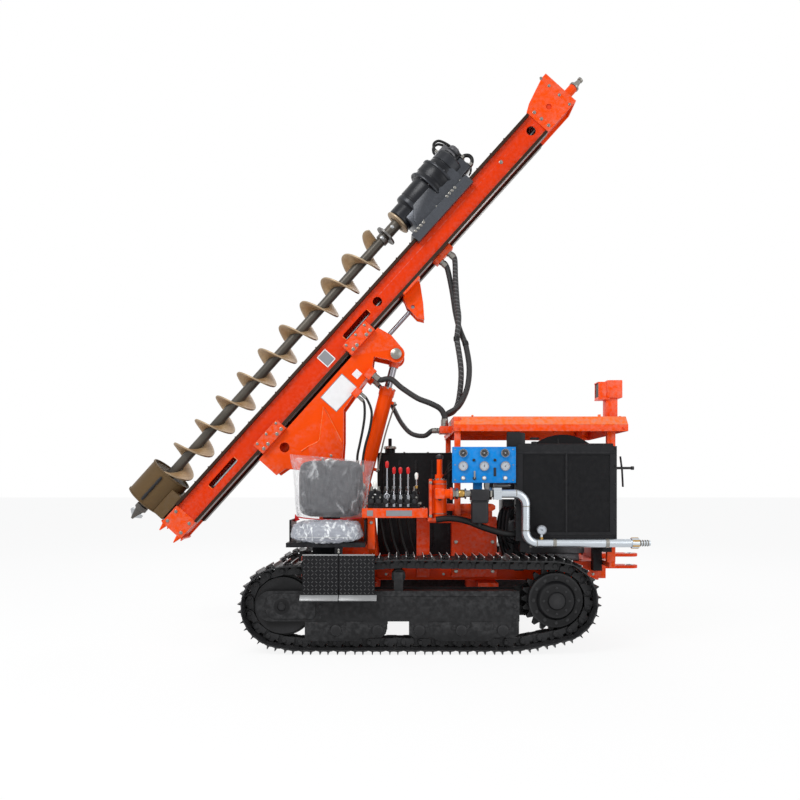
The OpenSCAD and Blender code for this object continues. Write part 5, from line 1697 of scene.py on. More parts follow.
@dataclass
class OperatorPost(Assembly):
    """The console, valve bank, levers, oiler, tank and foot plates at the seat side."""

    levers: tuple[tuple[float, float, bool], ...] = ((0.03, 1.222, True), (0.077, 1.182, True), (0.12, 1.182, True),
                                                     (0.171, 1.182, True), (-0.051, 1.085, False),
                                                     (0.228, 1.145, False))

    lever_y: float = -0.52
    oiler: tuple[float, float] = (0.38, -0.56)

    def build(self) -> None:
        """Dress the post and add its levers, plates, bolts and treads."""
        self.dress("console", Look.ORANGE, 0.004)
        self.dress("oiler", Look.ORANGE, 0.003)
        self.dress("oil_tank", Look.BLACK, 0.012, steps=3)
        self.dress("foot_plates", Look.BLACK, 0.001)
        self._bank()
        self._levers()
        self._labels()
        self._oiler()
        self._tank()
        self._treads()

    def _bank(self) -> None:
        """Show the valve bank: its sections, caps, ports and tie rods."""
        bank = Sheet().block((-0.1, -0.58, 0.9365), (0.25, -0.46, 0.952), 0.003)
        caps, ports = Sheet(), Sheet()
        for k in range(7):
            x = -0.074 + k * 0.048
            bank.block((x - 0.0225, -0.576, 0.951), (x + 0.0225, -0.464, 1.026), 0.004)
            bank.block((x - 0.016, -0.57, 1.02), (x + 0.016, -0.475, 1.052), 0.006)
            ports.lathe([(0, 0.015), (0.004, 0.017), (0.016, 0.017), (0.02, 0.012), (0.022, 0.012), (0.023, 0)],
                        (x, -0.576, 0.98), NEAR, 20)
            caps.lathe([(0, 0.0065), (0.01, 0.0065), (0.011, 0)], (x + 0.011, -0.576, 1.008), NEAR, 6)
            caps.lathe([(0, 0.012), (0.012, 0.012), (0.013, 0.009), (0.03, 0.009), (0.031, 0)],
                       (x, -0.5, 1.05), sides=6)
        for y in (-0.555, -0.485):
            caps.lathe([(-0.108, 0), (-0.108, 0.009), (-0.1, 0.009), (-0.1, 0.005), (0.25, 0.005), (0.25, 0.009),
                        (0.258, 0.009), (0.258, 0)], (0, y, 0.966), AHEAD, 6)
        self.piece("valve_sections", bank, Look.BLACK, "valve_bank")
        self.piece("valve_ports", ports, Look.PLASTIC)
        self.piece("valve_caps", caps, Look.ZINC)
        lines = Sheet()
        for k in range(5):
            x = -0.05 + k * 0.062
            lines.pipe(smooth_route([(x, -0.464, 1.0), (x, -0.43, 1.0), (x + 0.01, -0.4, 0.97),
                                     (x + 0.03, -0.385, 0.86), (x + 0.06, -0.375, 0.7), (x + 0.1, -0.372, 0.6)],
                                    5), 0.0105, 12)
        self.piece("valve_lines", lines, Look.RUBBER)

    def _levers(self) -> None:
        """Show the levers with their knobs and boots."""
        stems, knobs, pale, boots = Sheet(), Sheet(), Sheet(), Sheet()
        for x, top, red in self.levers:
            stems.lathe([(1.03, 0.0065), (top - 0.01, 0.005), (top, 0.0045)], (x, self.lever_y, 0), sides=14)
            boots.lathe([(1.03, 0.021), (1.036, 0.022), (1.042, 0.016), (1.047, 0.018), (1.053, 0.012),
                         (1.058, 0.013), (1.064, 0.008)], (x, self.lever_y, 0), sides=20)
            (knobs if red else pale).lathe([
                (top - 0.018, 0), (top - 0.018, 0.0075), (top - 0.006, 0.0115), (top + 0.01, 0.013),
                (top + 0.02, 0.012),
                (top + 0.027, 0.007), (top + 0.029, 0)], (x, self.lever_y, 0), sides=24)
            if red:
                stems.block((x - 0.0085, -0.592, 0.945), (x + 0.0085, -0.58, 1.024), 0.003)
                stems.lathe([(-0.002, 0.0045), (0.011, 0.0045), (0.012, 0)], (x, -0.59, 1.01), NEAR, 6)
                stems.pipe([(x, -0.586, 1.02), (x, -0.572, 1.048), (x, -0.524, 1.06)], 0.005, 10)
                stems.lathe([(1.06, 0.0095), (1.062, 0.0105), (1.078, 0.0105), (1.08, 0.006)],
                            (x, self.lever_y, 0), sides=6)
                stems.lathe([(1.12, 0.0085), (1.134, 0.0085), (1.136, 0.005)], (x, self.lever_y, 0), sides=6)
        ring = [(0.03 + 0.0165 * math.cos(k * math.tau / 20), -0.596, 1.016 + 0.0165 * math.sin(k * math.tau / 20))
                for k in range(21)]
        stems.pipe(ring, 0.0035, 8, closed_ends=False)
        self.piece("lever_stems", stems, Look.CHROME_UP, "valve_bank")
        self.piece("lever_knobs", knobs, Look.RED, "valve_bank")
        self.piece("lever_grips", pale, Look.IVORY)
        self.piece("lever_boots", boots, Look.RUBBER)
        brass = Sheet().lathe([(1.066, 0.008), (1.068, 0.0115), (1.084, 0.0115), (1.086, 0.008)],
                              (0.228, self.lever_y, 0), sides=6)
        self.piece("lever_nut", brass, Look.BRASS)

    def _labels(self) -> None:
        """Show the console's blank plates and its bolts."""
        labels = Sheet()
        for low, high in ((0.025, 0.196), (-0.101, -0.061)):
            labels.block((low, -0.6018, 0.884), (high, -0.6, 0.922), 0.0006, 1)
        self.piece("console_labels", labels, Look.GREY)
        spots = stations(WORLD, UP, 0.008, [(x, y, 0.9365) for x in (-0.12, 0.28) for y in (-0.58, -0.44)])
        spots += stations(WORLD, NEAR, 0.009, [(-0.075, -0.5605, 0.84)])
        spots += stations(WORLD, NEAR, 0.01, [(x, -0.4205, z) for x in (0.5, 0.75) for z in (0.5, 0.7)])
        self.bolts("console_bolts", spots)

    def _oiler(self) -> None:
        """Show the oiler's rings, knob and bolts."""
        trim, (x, y) = Sheet(), self.oiler
        for z in (0.898, 1.0945):
            trim.lathe([(z, 0.0485), (z + 0.001, 0.052), (z + 0.004, 0.052), (z + 0.005, 0.0485)],
                       (x, y, 0), sides=36)
        trim.lathe([(1.1225, 0.028), (1.124, 0.034), (1.134, 0.034), (1.136, 0.028)], (x, y, 0), sides=6)
        self.piece("oiler_rings", trim, Look.ZINC)
        knob = Sheet().lathe([(1.262, 0.018), (1.266, 0.0235), (1.276, 0.0245), (1.288, 0.022), (1.293, 0)],
                             (x, y, 0), sides=14)
        knob.lathe([(-0.002, 0.014), (0.004, 0.014), (0.006, 0.01), (0.006, 0)], (x, y - 0.048, 1.0), NEAR, 20)
        self.piece("oiler_knob", knob, Look.PLASTIC)
        spots = stations(WORLD, UP, 0.006, around((x, y, 1.1222), "z", 0.043, 6))
        spots += stations(WORLD, NEAR, 0.008, [(0.318, -0.6205, z) for z in (0.885, 1.105)])
        spots += stations(WORLD, AHEAD, 0.0055, around((0.4565, -0.7, 1.034), "x", 0.034, 4, 0.8)[:2])
        self.bolts("oiler_bolts", spots)

    def _tank(self) -> None:
        """Show the tank's top frame, ribs, filler cap and bolts."""
        trim = Sheet()
        trim.prism([(-0.058, 0.168), (0.524, 0.168), (0.524, 0.347), (-0.058, 0.347)], 1.322, 1.33, "xy", 0.002)
        for k in range(5):
            trim.block((-0.02 + k * 0.125, 0.166, 0.62), (0 + k * 0.125, 0.172, 1.28), 0.002)
        self.piece("tank_ribs", trim, Look.BLACK)
        cap = Sheet().lathe([(1.3665, 0.046), (1.37, 0.05), (1.382, 0.05), (1.39, 0.044), (1.391, 0.018)],
                            (0.04, 0.26, 0), sides=12)
        self.piece("tank_cap", cap, Look.ZINC)
        self.bolts("tank_bolts", stations(WORLD, UP, 0.008, [
            (x, y, 1.3365) for x in (-0.03, 0.15, 0.33, 0.5) for y in (0.19, 0.325)]))

    def _treads(self) -> None:
        """Show the diamond studs and the rubbed lips of the foot plates."""
        stud = Sheet().prism([(-0.0095, 0), (-0.0045, 0.0024), (0.0045, 0.0024), (0.0095, 0), (0.0045, -0.0024),
                              (-0.0045, -0.0024)], 0, 0.0016, "xy").result("stud")
        holder = bpy.data.objects.new("stud_part", stud)
        bpy.context.scene.collection.objects.link(holder)
        lips = Sheet()
        for k, x in enumerate((-0.392, -0.158)):
            mesh = self.shop.studs.make(f"tread_{k}", bpy.data.meshes.new("seed"), Look.STUD, {
                "Part": holder, "Wide": 0.204, "High": 0.262, "Columns": 9, "Rows": 12, "Middle": (x, -0.764, 0.506)})
            self.show(f"tread_{k}", mesh, Look.STUD)
            lips.block((x - 0.114, -0.7705, 0.6395), (x + 0.114, -0.7575, 0.6475), 0.001, 1)
            lips.prism([(-0.7645, 0.388), (-0.7685, 0.388), (-0.7965, 0.36), (-0.7945, 0.3535), (-0.7645, 0.3815)],
                       *sorted((x - 0.114 - 0.016 * (1 - k), x + 0.114 + 0.012 * k)), "yz", 0.0008)
        bpy.data.objects.remove(holder)
        self.piece("plate_lips", lips, Look.LIP)
        self.bolts("plate_bolts", stations(WORLD, NEAR, 0.009, [
            (-0.275, -0.7585, z) for z in (0.66, 0.675)]), Look.ZINC, "dome")


@dataclass
class Seat(Assembly):
    """The padded seat in its packing film."""

    middle: float = -0.36

    def build(self) -> None:
        """Blow up the cushion and the back, then wrap them."""
        self.dress("seat_frame", Look.BLACK, 0.002)
        low = self._puffed("seat_cushion", 0.012, lambda p: abs(p.z - 0.755) < 0.004)
        self._sew(low, 2, (-0.51, -0.21), 0.005)
        high = self._puffed("seat_back", 0.01, lambda p: abs(p.y + 0.365) < 0.004)
        self._sew(high, 1, (-0.5, -0.22), 0.004)
        cushion = self.show("cushion_pad", low, Look.CLOTH, ("seat_cushion",), smooth=70.0)
        back = self.show("back_pad", high, Look.CLOTH, ("seat_back",), smooth=70.0)
        self._film(low)
        self._bag()
        self._trim()

    def _puffed(self, node: str, shrink: float, seam: Callable[[Vector], bool]) -> bpy.types.Mesh:
        """Return a packed soft solid, filled with air between its seams by a cloth simulation.

        Args:
            node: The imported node.
            shrink: How far its faces are drawn in first.
            seam: Whether a point lies on a seam, which stays where it is.

        Returns:
            The settled mesh.
        """
        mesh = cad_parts[node].data.copy()
        corners = [v.co.copy() for v in mesh.vertices]
        centre = Vector([(min(c[k] for c in corners) + max(c[k] for c in corners)) / 2 for k in range(3)])
        half = Vector([max(c[k] for c in corners) - centre[k] for k in range(3)])
        for vert in mesh.vertices:
            vert.co = centre + Vector([(vert.co[k] - centre[k]) * (1.0 - shrink / half[k]) for k in range(3)])
        piece = bpy.data.objects.new(node + "_soft", mesh)
        bpy.context.scene.collection.objects.link(piece)
        even = piece.modifiers.new("even", "REMESH")
        even.mode, even.voxel_size = "VOXEL", 0.006
        piece.data = bpy.data.meshes.new_from_object(piece.evaluated_get(bpy.context.evaluated_depsgraph_get()))
        piece.modifiers.clear()
        for vert in piece.data.vertices:
            vert.co = self._rounded(vert.co, centre, half, 6.0 if half.y < half.z else 5.0)
        start = [v.co.copy() for v in piece.data.vertices]
        held = piece.vertex_groups.new(name="seam")
        held.add([k for k, p in enumerate(start) if seam(p)], 1.0, "REPLACE")
        cloth = piece.modifiers.new("cloth", "CLOTH")
        cloth.settings.use_pressure, cloth.settings.uniform_pressure_force = True, 4.0
        cloth.settings.effector_weights.gravity = 0
        cloth.settings.quality, cloth.settings.mass, cloth.settings.bending_stiffness = 4, 0.3, 1.5
        cloth.settings.vertex_group_mass = "seam"
        cloth.point_cache.frame_start, cloth.point_cache.frame_end = 1, 20
        for step in range(1, 21):
            bpy.context.scene.frame_set(step)
        moved = bpy.data.meshes.new_from_object(piece.evaluated_get(bpy.context.evaluated_depsgraph_get()))
        for vert, first in zip(moved.vertices, start):
            shift = vert.co - first
            vert.co = first + shift * min(1.0, 0.013 / max(shift.length, 1e-6))
        bpy.context.scene.frame_set(1)
        bpy.data.objects.remove(piece)
        return self._smoothed(moved)

    @staticmethod
    def _rounded(spot: Vector, centre: Vector, half: Vector, power: float) -> Vector:
        """Return a point of a box moved so that the box's corners are rounded, seen from the front and from above."""
        p = [(spot[k] - centre[k]) / half[k] for k in range(3)]
        for a, b in ((0, 2), (0, 1)):
            reach = max(abs(p[a]), abs(p[b]), 1e-6)
            pull = reach / (abs(p[a]) ** power + abs(p[b]) ** power + 1e-12) ** (1.0 / power)
            p[a], p[b] = p[a] * min(pull, 1.0), p[b] * min(pull, 1.0)
        return centre + Vector([p[k] * half[k] for k in range(3)])

    @staticmethod
    def _smoothed(mesh: bpy.types.Mesh) -> bpy.types.Mesh:
        """Return a mesh smoothed three times, without its materials."""
        work = bmesh.new()
        work.from_mesh(mesh)
        for _ in range(3):
            bmesh.ops.smooth_vert(work, verts=work.verts, factor=0.5, use_axis_x=True, use_axis_y=True,
                                  use_axis_z=True)
        work.to_mesh(mesh)
        work.free()
        mesh.materials.clear()
        return mesh

    @staticmethod
    def _sew(mesh: bpy.types.Mesh, axis: int, lines: Sequence[float], deep: float) -> None:
        """Press sewn channels along the seat at some places across it, on the side that faces out."""
        level = sum(v.co[axis] for v in mesh.vertices) / len(mesh.vertices)
        out = 1.0 if axis == 2 else -1.0
        for vert in mesh.vertices:
            if (vert.co[axis] - level) * out > 0:
                press = sum(math.exp(-((vert.co.x - x) / 0.007) ** 2) for x in lines)
                vert.co[axis] -= out * deep * press

    def _film(self, pad: bpy.types.Mesh) -> None:
        """Show the tight film round the cushion, creased, a little off its cloth."""
        film = pad.copy()
        film.materials.clear()
        normals = [v.normal.copy() for v in film.vertices]
        for vert, normal in zip(film.vertices, normals):
            p = vert.co
            fold = math.sin(p.x * 61 + 9 * math.sin(p.z * 47)) * math.sin(p.z * 83 + p.y * 52 + 6 * math.sin(p.x * 29))
            vert.co = p + normal * (0.0046 + 0.0034 * fold)
        piece = self.show("cushion_film", film, Look.FILM_TIGHT, smooth=70.0)

    def _bag(self) -> None:
        """Show the loose bag over the back: one shell that hangs in soft folds."""
        columns, rows = ((190, 84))
        work = bmesh.new()
        grid = []
        for j in range(rows + 1):
            share = j / rows
            ring = []
            for i in range(columns):
                turn = i / columns * math.tau
                wide = 0.232 + 0.058 * share ** 1.3 + 0.004 * math.sin(share * 7.0)
                flare = 0.008 * (1 - share) * math.sin(turn * 3 + 1.0)
                c, s = math.cos(turn), math.sin(turn)
                x = (wide + flare) * math.copysign(abs(c) ** 0.5, c) + 0.016 * share - 0.008
                y = 0.066 * math.copysign(abs(s) ** 0.5, s)
                fold = math.sin(turn * 11 + share * 7.0 + 2.0 * math.sin(share * 9 + turn * 2))
                fine = math.sin(turn * 27 - share * 21 + 3 * math.sin(turn * 5))
                slack = 0.45 + 0.55 * (1 - share)
                y += (0.0042 * fold + 0.0016 * fine) * slack * (1 if s < 0 else 0.5)
                x += 0.006 * fine * slack
                wave = 0.012 * math.sin(turn * 2 + 0.4) + 0.006 * fold
                z = 0.868 + share * (0.411 - 0.085 * x) + wave * (1 - share) ** 3
                if share > 0.9:
                    y *= 1 - 0.86 * ((share - 0.9) / 0.1) ** 2
                ring.append(work.verts.new((self.middle + x, -0.364 + y, z)))
            grid.append(ring)
        for lower, upper in zip(grid, grid[1:]):
            for i in range(columns):
                work.faces.new([lower[i], lower[(i + 1) % columns], upper[(i + 1) % columns], upper[i]])
        seam = [grid[-1][i] for i in range(columns)]
        half = columns // 2
        for i in range(half):
            corners = [seam[i], seam[(i + 1) % columns], seam[-i - 2], seam[-i - 1]]
            unique = list(dict.fromkeys(corners))
            if len(unique) > 2 and not work.faces.get(unique):
                work.faces.new(unique)
        mesh = bpy.data.meshes.new("bag_film")
        work.to_mesh(mesh)
        work.free()
        piece = self.show("bag_film", mesh, Look.FILM, ("seat_wrap",), smooth=70.0)

    def _trim(self) -> None:
        """Show the strap, the seat's side plates and the stitches."""
        strap = Sheet()
        route = smooth_route([(-0.585, -0.425, 0.872), (-0.5, -0.428, 0.86), (-0.36, -0.424, 0.853),
                              (-0.22, -0.428, 0.86), (-0.135, -0.425, 0.868)], 6)
        for (x, y, z), (u, _, w) in zip(route, route[1:]):
            strap.prism([(x, z - 0.004), (u, w - 0.004), (u, w + 0.004), (x, z + 0.004)], y - 0.002, y)
        strap.prism([(-0.6, 0.893), (-0.566, 0.853), (-0.604, 0.838)], -0.4305, -0.4285, edge=0.0008)
        strap.prism([(-0.1, 0.77), (-0.06, 0.745), (-0.045, 0.752), (-0.088, 0.79)], -0.452, -0.45, edge=0.0008)
        self.piece("seat_strap", strap, Look.RED)
        rails = Sheet()
        for side in (-1, 1):
            x = self.middle + side * 0.2475
            rails.prism([(-0.6, 0.72), (-0.34, 0.72), (-0.34, 0.86), (-0.4, 0.862), (-0.59, 0.8), (-0.6, 0.77)],
                        *sorted((x, x + side * 0.004)), "yz", 0.001)
        rails.block((-0.6, -0.745, 0.7), (-0.12, -0.735, 0.716), 0.002)
        self.piece("seat_cheeks", rails, Look.PLASTIC)
        line = bpy.data.meshes.new("seam_line")
        points = [(self.middle + k * 0.01 - 0.17, -0.7905, 0.7575) for k in range(35)]
        line.from_pydata(points, [(k, k + 1) for k in range(34)], [])
        thread = Sheet().lathe([(-0.0032, 0), (-0.003, 0.0009), (0.003, 0.0009), (0.0032, 0)], axis=AHEAD, sides=6)
        holder = bpy.data.objects.new("thread_part", thread.result("thread"))
        bpy.context.scene.collection.objects.link(holder)
        mesh = self.shop.stitches.make("seat_stitches", line, Look.IVORY, {"Part": holder, "Step": 0.008})
        bpy.data.objects.remove(holder)
        self.show("seat_stitches", mesh, Look.IVORY)


ACROSS = Place(ORIGIN, FAR, BACK, UP)
PIPE_Y = -0.7
FAN = (1.2065, 1.126)


@dataclass
class Cooler(Assembly):
    """The cooler and the cross handle behind it."""

    fins: int = 112
    fin_step: float = 0.0051

    def build(self) -> None:
        """Show the cooler's core, fins, bands, cap and bolts."""
        self.dress("cooler", Look.CORE, 0.002)
        fins = self.shop.slats.row("cooler_fins", self.fins, (0.9245, -0.6315, 1.0365), (self.fin_step, 0, 0),
                                   (0.0028, 0.0065, 0.505), Look.CORE)
        self.show("cooler_fins", fins, Look.CORE)
        bands = Sheet()
        bands.block((0.88, -0.6425, 1.296), (1.533, -0.6398, 1.31), 0.001, 1)
        bands.block((0.88, -0.6425, 0.762), (1.533, -0.6398, 0.776), 0.001, 1)
        bands.block((1.2, -0.643, 0.776), (1.212, -0.6398, 1.296), 0.001, 1)
        bands.lathe([(1.389, 0.02), (1.391, 0.03), (1.398, 0.031), (1.404, 0.026), (1.405, 0)],
                    (1.006, -0.594, 0), sides=8)
        bands.prism([(0.824, 1.312), (0.884, 1.312), (0.942, 1.3455), (0.942, 1.432), (0.9, 1.44), (0.824, 1.44)],
                    -0.612, -0.566, edge=0.005)
        bands.lathe([(-0.52, 0.292), (-0.52, 0.302), (-0.456, 0.302), (-0.456, 0.292)], (FAN[0], 0, FAN[1]), FAR, 72)
        bands.lathe([(1.346, 0.022), (1.376, 0.022), (1.378, 0)], (1.006, -0.594, 0), sides=24)
        bands.lathe([(0.89, 0), (0.892, 0.024), (1.521, 0.024), (1.523, 0)], (0, -0.594, 1.341), AHEAD, 24)
        self.piece("cooler_trim", bands, Look.CORE)
        spots = stations(WORLD, NEAR, 0.006, [(x, -0.6405, 0.75 + k * 0.116) for x in (0.887, 1.526)
                                              for k in range(6)])
        spots += stations(WORLD, BACK, 0.008, [(0.8755, -0.627, 0.8 + k * 0.052) for k in range(10)])
        self.bolts("cooler_bolts", spots, Look.BLACK)
        self._handle()

    def _handle(self) -> None:
        """Show the cross handle on its bar."""
        handle = Sheet()
        handle.lathe([(1.54, 0.016), (1.552, 0.016), (1.554, 0.009), (1.67, 0.0085), (1.672, 0.0125), (1.69, 0.0125),
                      (1.691, 0)], (0, -0.5, 1.204), AHEAD, 20)
        handle.pipe([(1.6, -0.5, 1.283), (1.607, -0.5, 1.23), (1.612, -0.5, 1.19), (1.618, -0.5, 1.077)], 0.0065, 12)
        self.piece("cross_handle", handle, Look.PLASTIC)


@dataclass
class Canopy(Assembly):
    """The roof on its posts, and the exhaust stack through it."""

    ends: tuple[float, float] = (-0.61, 0.42)
    low: float = 1.445
    fold: float = 1.487
    top: float = 1.545
    slope: float = 0.052

    def outline(self, wall: float) -> list[tuple[float, float]]:
        """Return the roof's section, drawn in by a wall."""
        near, far, fold = self.ends[0] + wall, self.ends[1] - wall, self.fold - wall * 0.4
        return [(near, self.low), (near, fold), (near + self.slope, self.top - wall),
                (far - self.slope, self.top - wall), (far, fold), (far, self.low)]

    def build(self) -> None:
        """Show the roof, its bolts and the stack."""
        self._roof()
        self._bolts()
        self._stack()

    def _roof(self) -> None:
        """Show the folded roof on its posts, and a painted highlight in pale orange on its slope."""
        sheet = Sheet(ACROSS)
        sheet.prism([*self.outline(0), *self.outline(0.005)[::-1]], -1.621, -0.472, edge=0.0012)
        for x in (0.472, 1.616):
            sheet.prism(self.outline(0.0005), -x - 0.005, -x)
        for k in range(1, 4):
            x = 0.472 + k * 0.287
            sheet.prism([(-0.57, 1.54), (0.38, 1.54), (0.38, 1.505), (-0.57, 1.505)], -x - 0.005, -x)
        sheet.turned(WORLD)
        for x, y, z, wide in ((0.478, -0.59, 0.85, 0.04), (0.478, 0.36, 0.525, 0.04), (1.497, -0.5545, 0.5745, 0.056),
                              (1.511, 0.365, 0.5745, 0.04)):
            sheet.block((x, y, z), (x + wide, y + 0.04, 1.5395), 0.003)
        sheet.block((0.395, -0.34, 1.45), (0.4725, -0.18, 1.5), 0.003)
        sheet.block((0.478, -0.59, 0.85), (0.518, -0.42, 0.872), 0.003)
        sheet.block((0.478, 0.33, 0.525), (0.518, 0.4, 0.56), 0.003)
        sheet.block((1.511, -0.555, 0.54), (1.551, -0.24, 0.575), 0.003)
        sheet.block((1.511, 0.24, 0.54), (1.551, 0.405, 0.575), 0.003)
        for y in (-0.325, 0.24):
            sheet.block((1.5, y, 0.44), (1.551, y + 0.085, 0.575), 0.003)
        self.piece("roof", sheet, Look.ORANGE, "canopy")
        # A thin pale sheet on the roof's front slope and two small pale blocks: painted highlight.
        light = Sheet(ACROSS).prism([(-0.6112, 1.489), (-0.5605, 1.5462), (-0.559, 1.5456), (-0.6095, 1.488)],
                                    -1.6195, -0.4735)
        light.turned(WORLD)
        light.block((0.592, -0.566, 1.5465), (0.606, -0.552, 1.5562), 0.002)
        light.block((1.452, -0.5, 1.545), (1.47, -0.48, 1.566), 0.003)
        self.piece("roof_slope", light, Look.ORANGE_PALE)

    def _bolts(self) -> None:
        """Show the bolts of the roof's edges and of the stack's foot."""
        spots = stations(WORLD, NEAR, 0.007, [(x, -0.6105, 1.464) for x in (0.5, 1.59)])
        spots += stations(WORLD, UP, 0.008, [(1.56 + s * 0.052, -0.4 + t * 0.052, 1.5515) for s in (-1, 1)
                                             for t in (-1, 1)])
        spots += stations(WORLD, BACK, 0.008, [(0.4715, y, 1.47) for y in (-0.5, -0.1, 0.1, 0.35)])
        spots += stations(WORLD, AHEAD, 0.008, [(1.6215, y, 1.47) for y in (-0.56, -0.2, 0, 0.37)])
        # The bolts take the darker orange: painted shade.
        self.bolts("roof_bolts", spots, Look.ORANGE_DEEP)

    def _stack(self) -> None:
        """Show the exhaust stack with its hood, and a dark plate in the hood's mouth as painted shade."""
        stack = Sheet().block((1.52, -0.44, 1.5455), (1.6, -0.36, 1.695), 0.003)
        stack.block((1.508, -0.452, 1.5455), (1.612, -0.348, 1.5515), 0.001)
        stack.block((1.523, -0.46, 1.682), (1.628, -0.34, 1.803), 0.005)
        stack.prism([(1.4635, 1.672), (1.545, 1.672), (1.545, 1.69), (1.4675, 1.69)], -0.4512, -0.3488)
        stack.prism([(1.4635, 1.786), (1.524, 1.786), (1.524, 1.792), (1.4635, 1.792)], -0.4512, -0.3488)
        for y in (-0.452, -0.3535):
            stack.block((1.4665, y, 1.676), (1.526, y + 0.0055, 1.791), 0.0008)
        self.piece("stack_hood", stack, Look.ORANGE, "exhaust_stack")
        # A dark plate fills the hood's open mouth: painted shade of its hollow inside.
        mouth = Sheet().block((1.47, -0.4465, 1.691), (1.476, -0.3535, 1.785), 0.001)
        self.piece("stack_louvres", mouth, Look.PLASTIC)


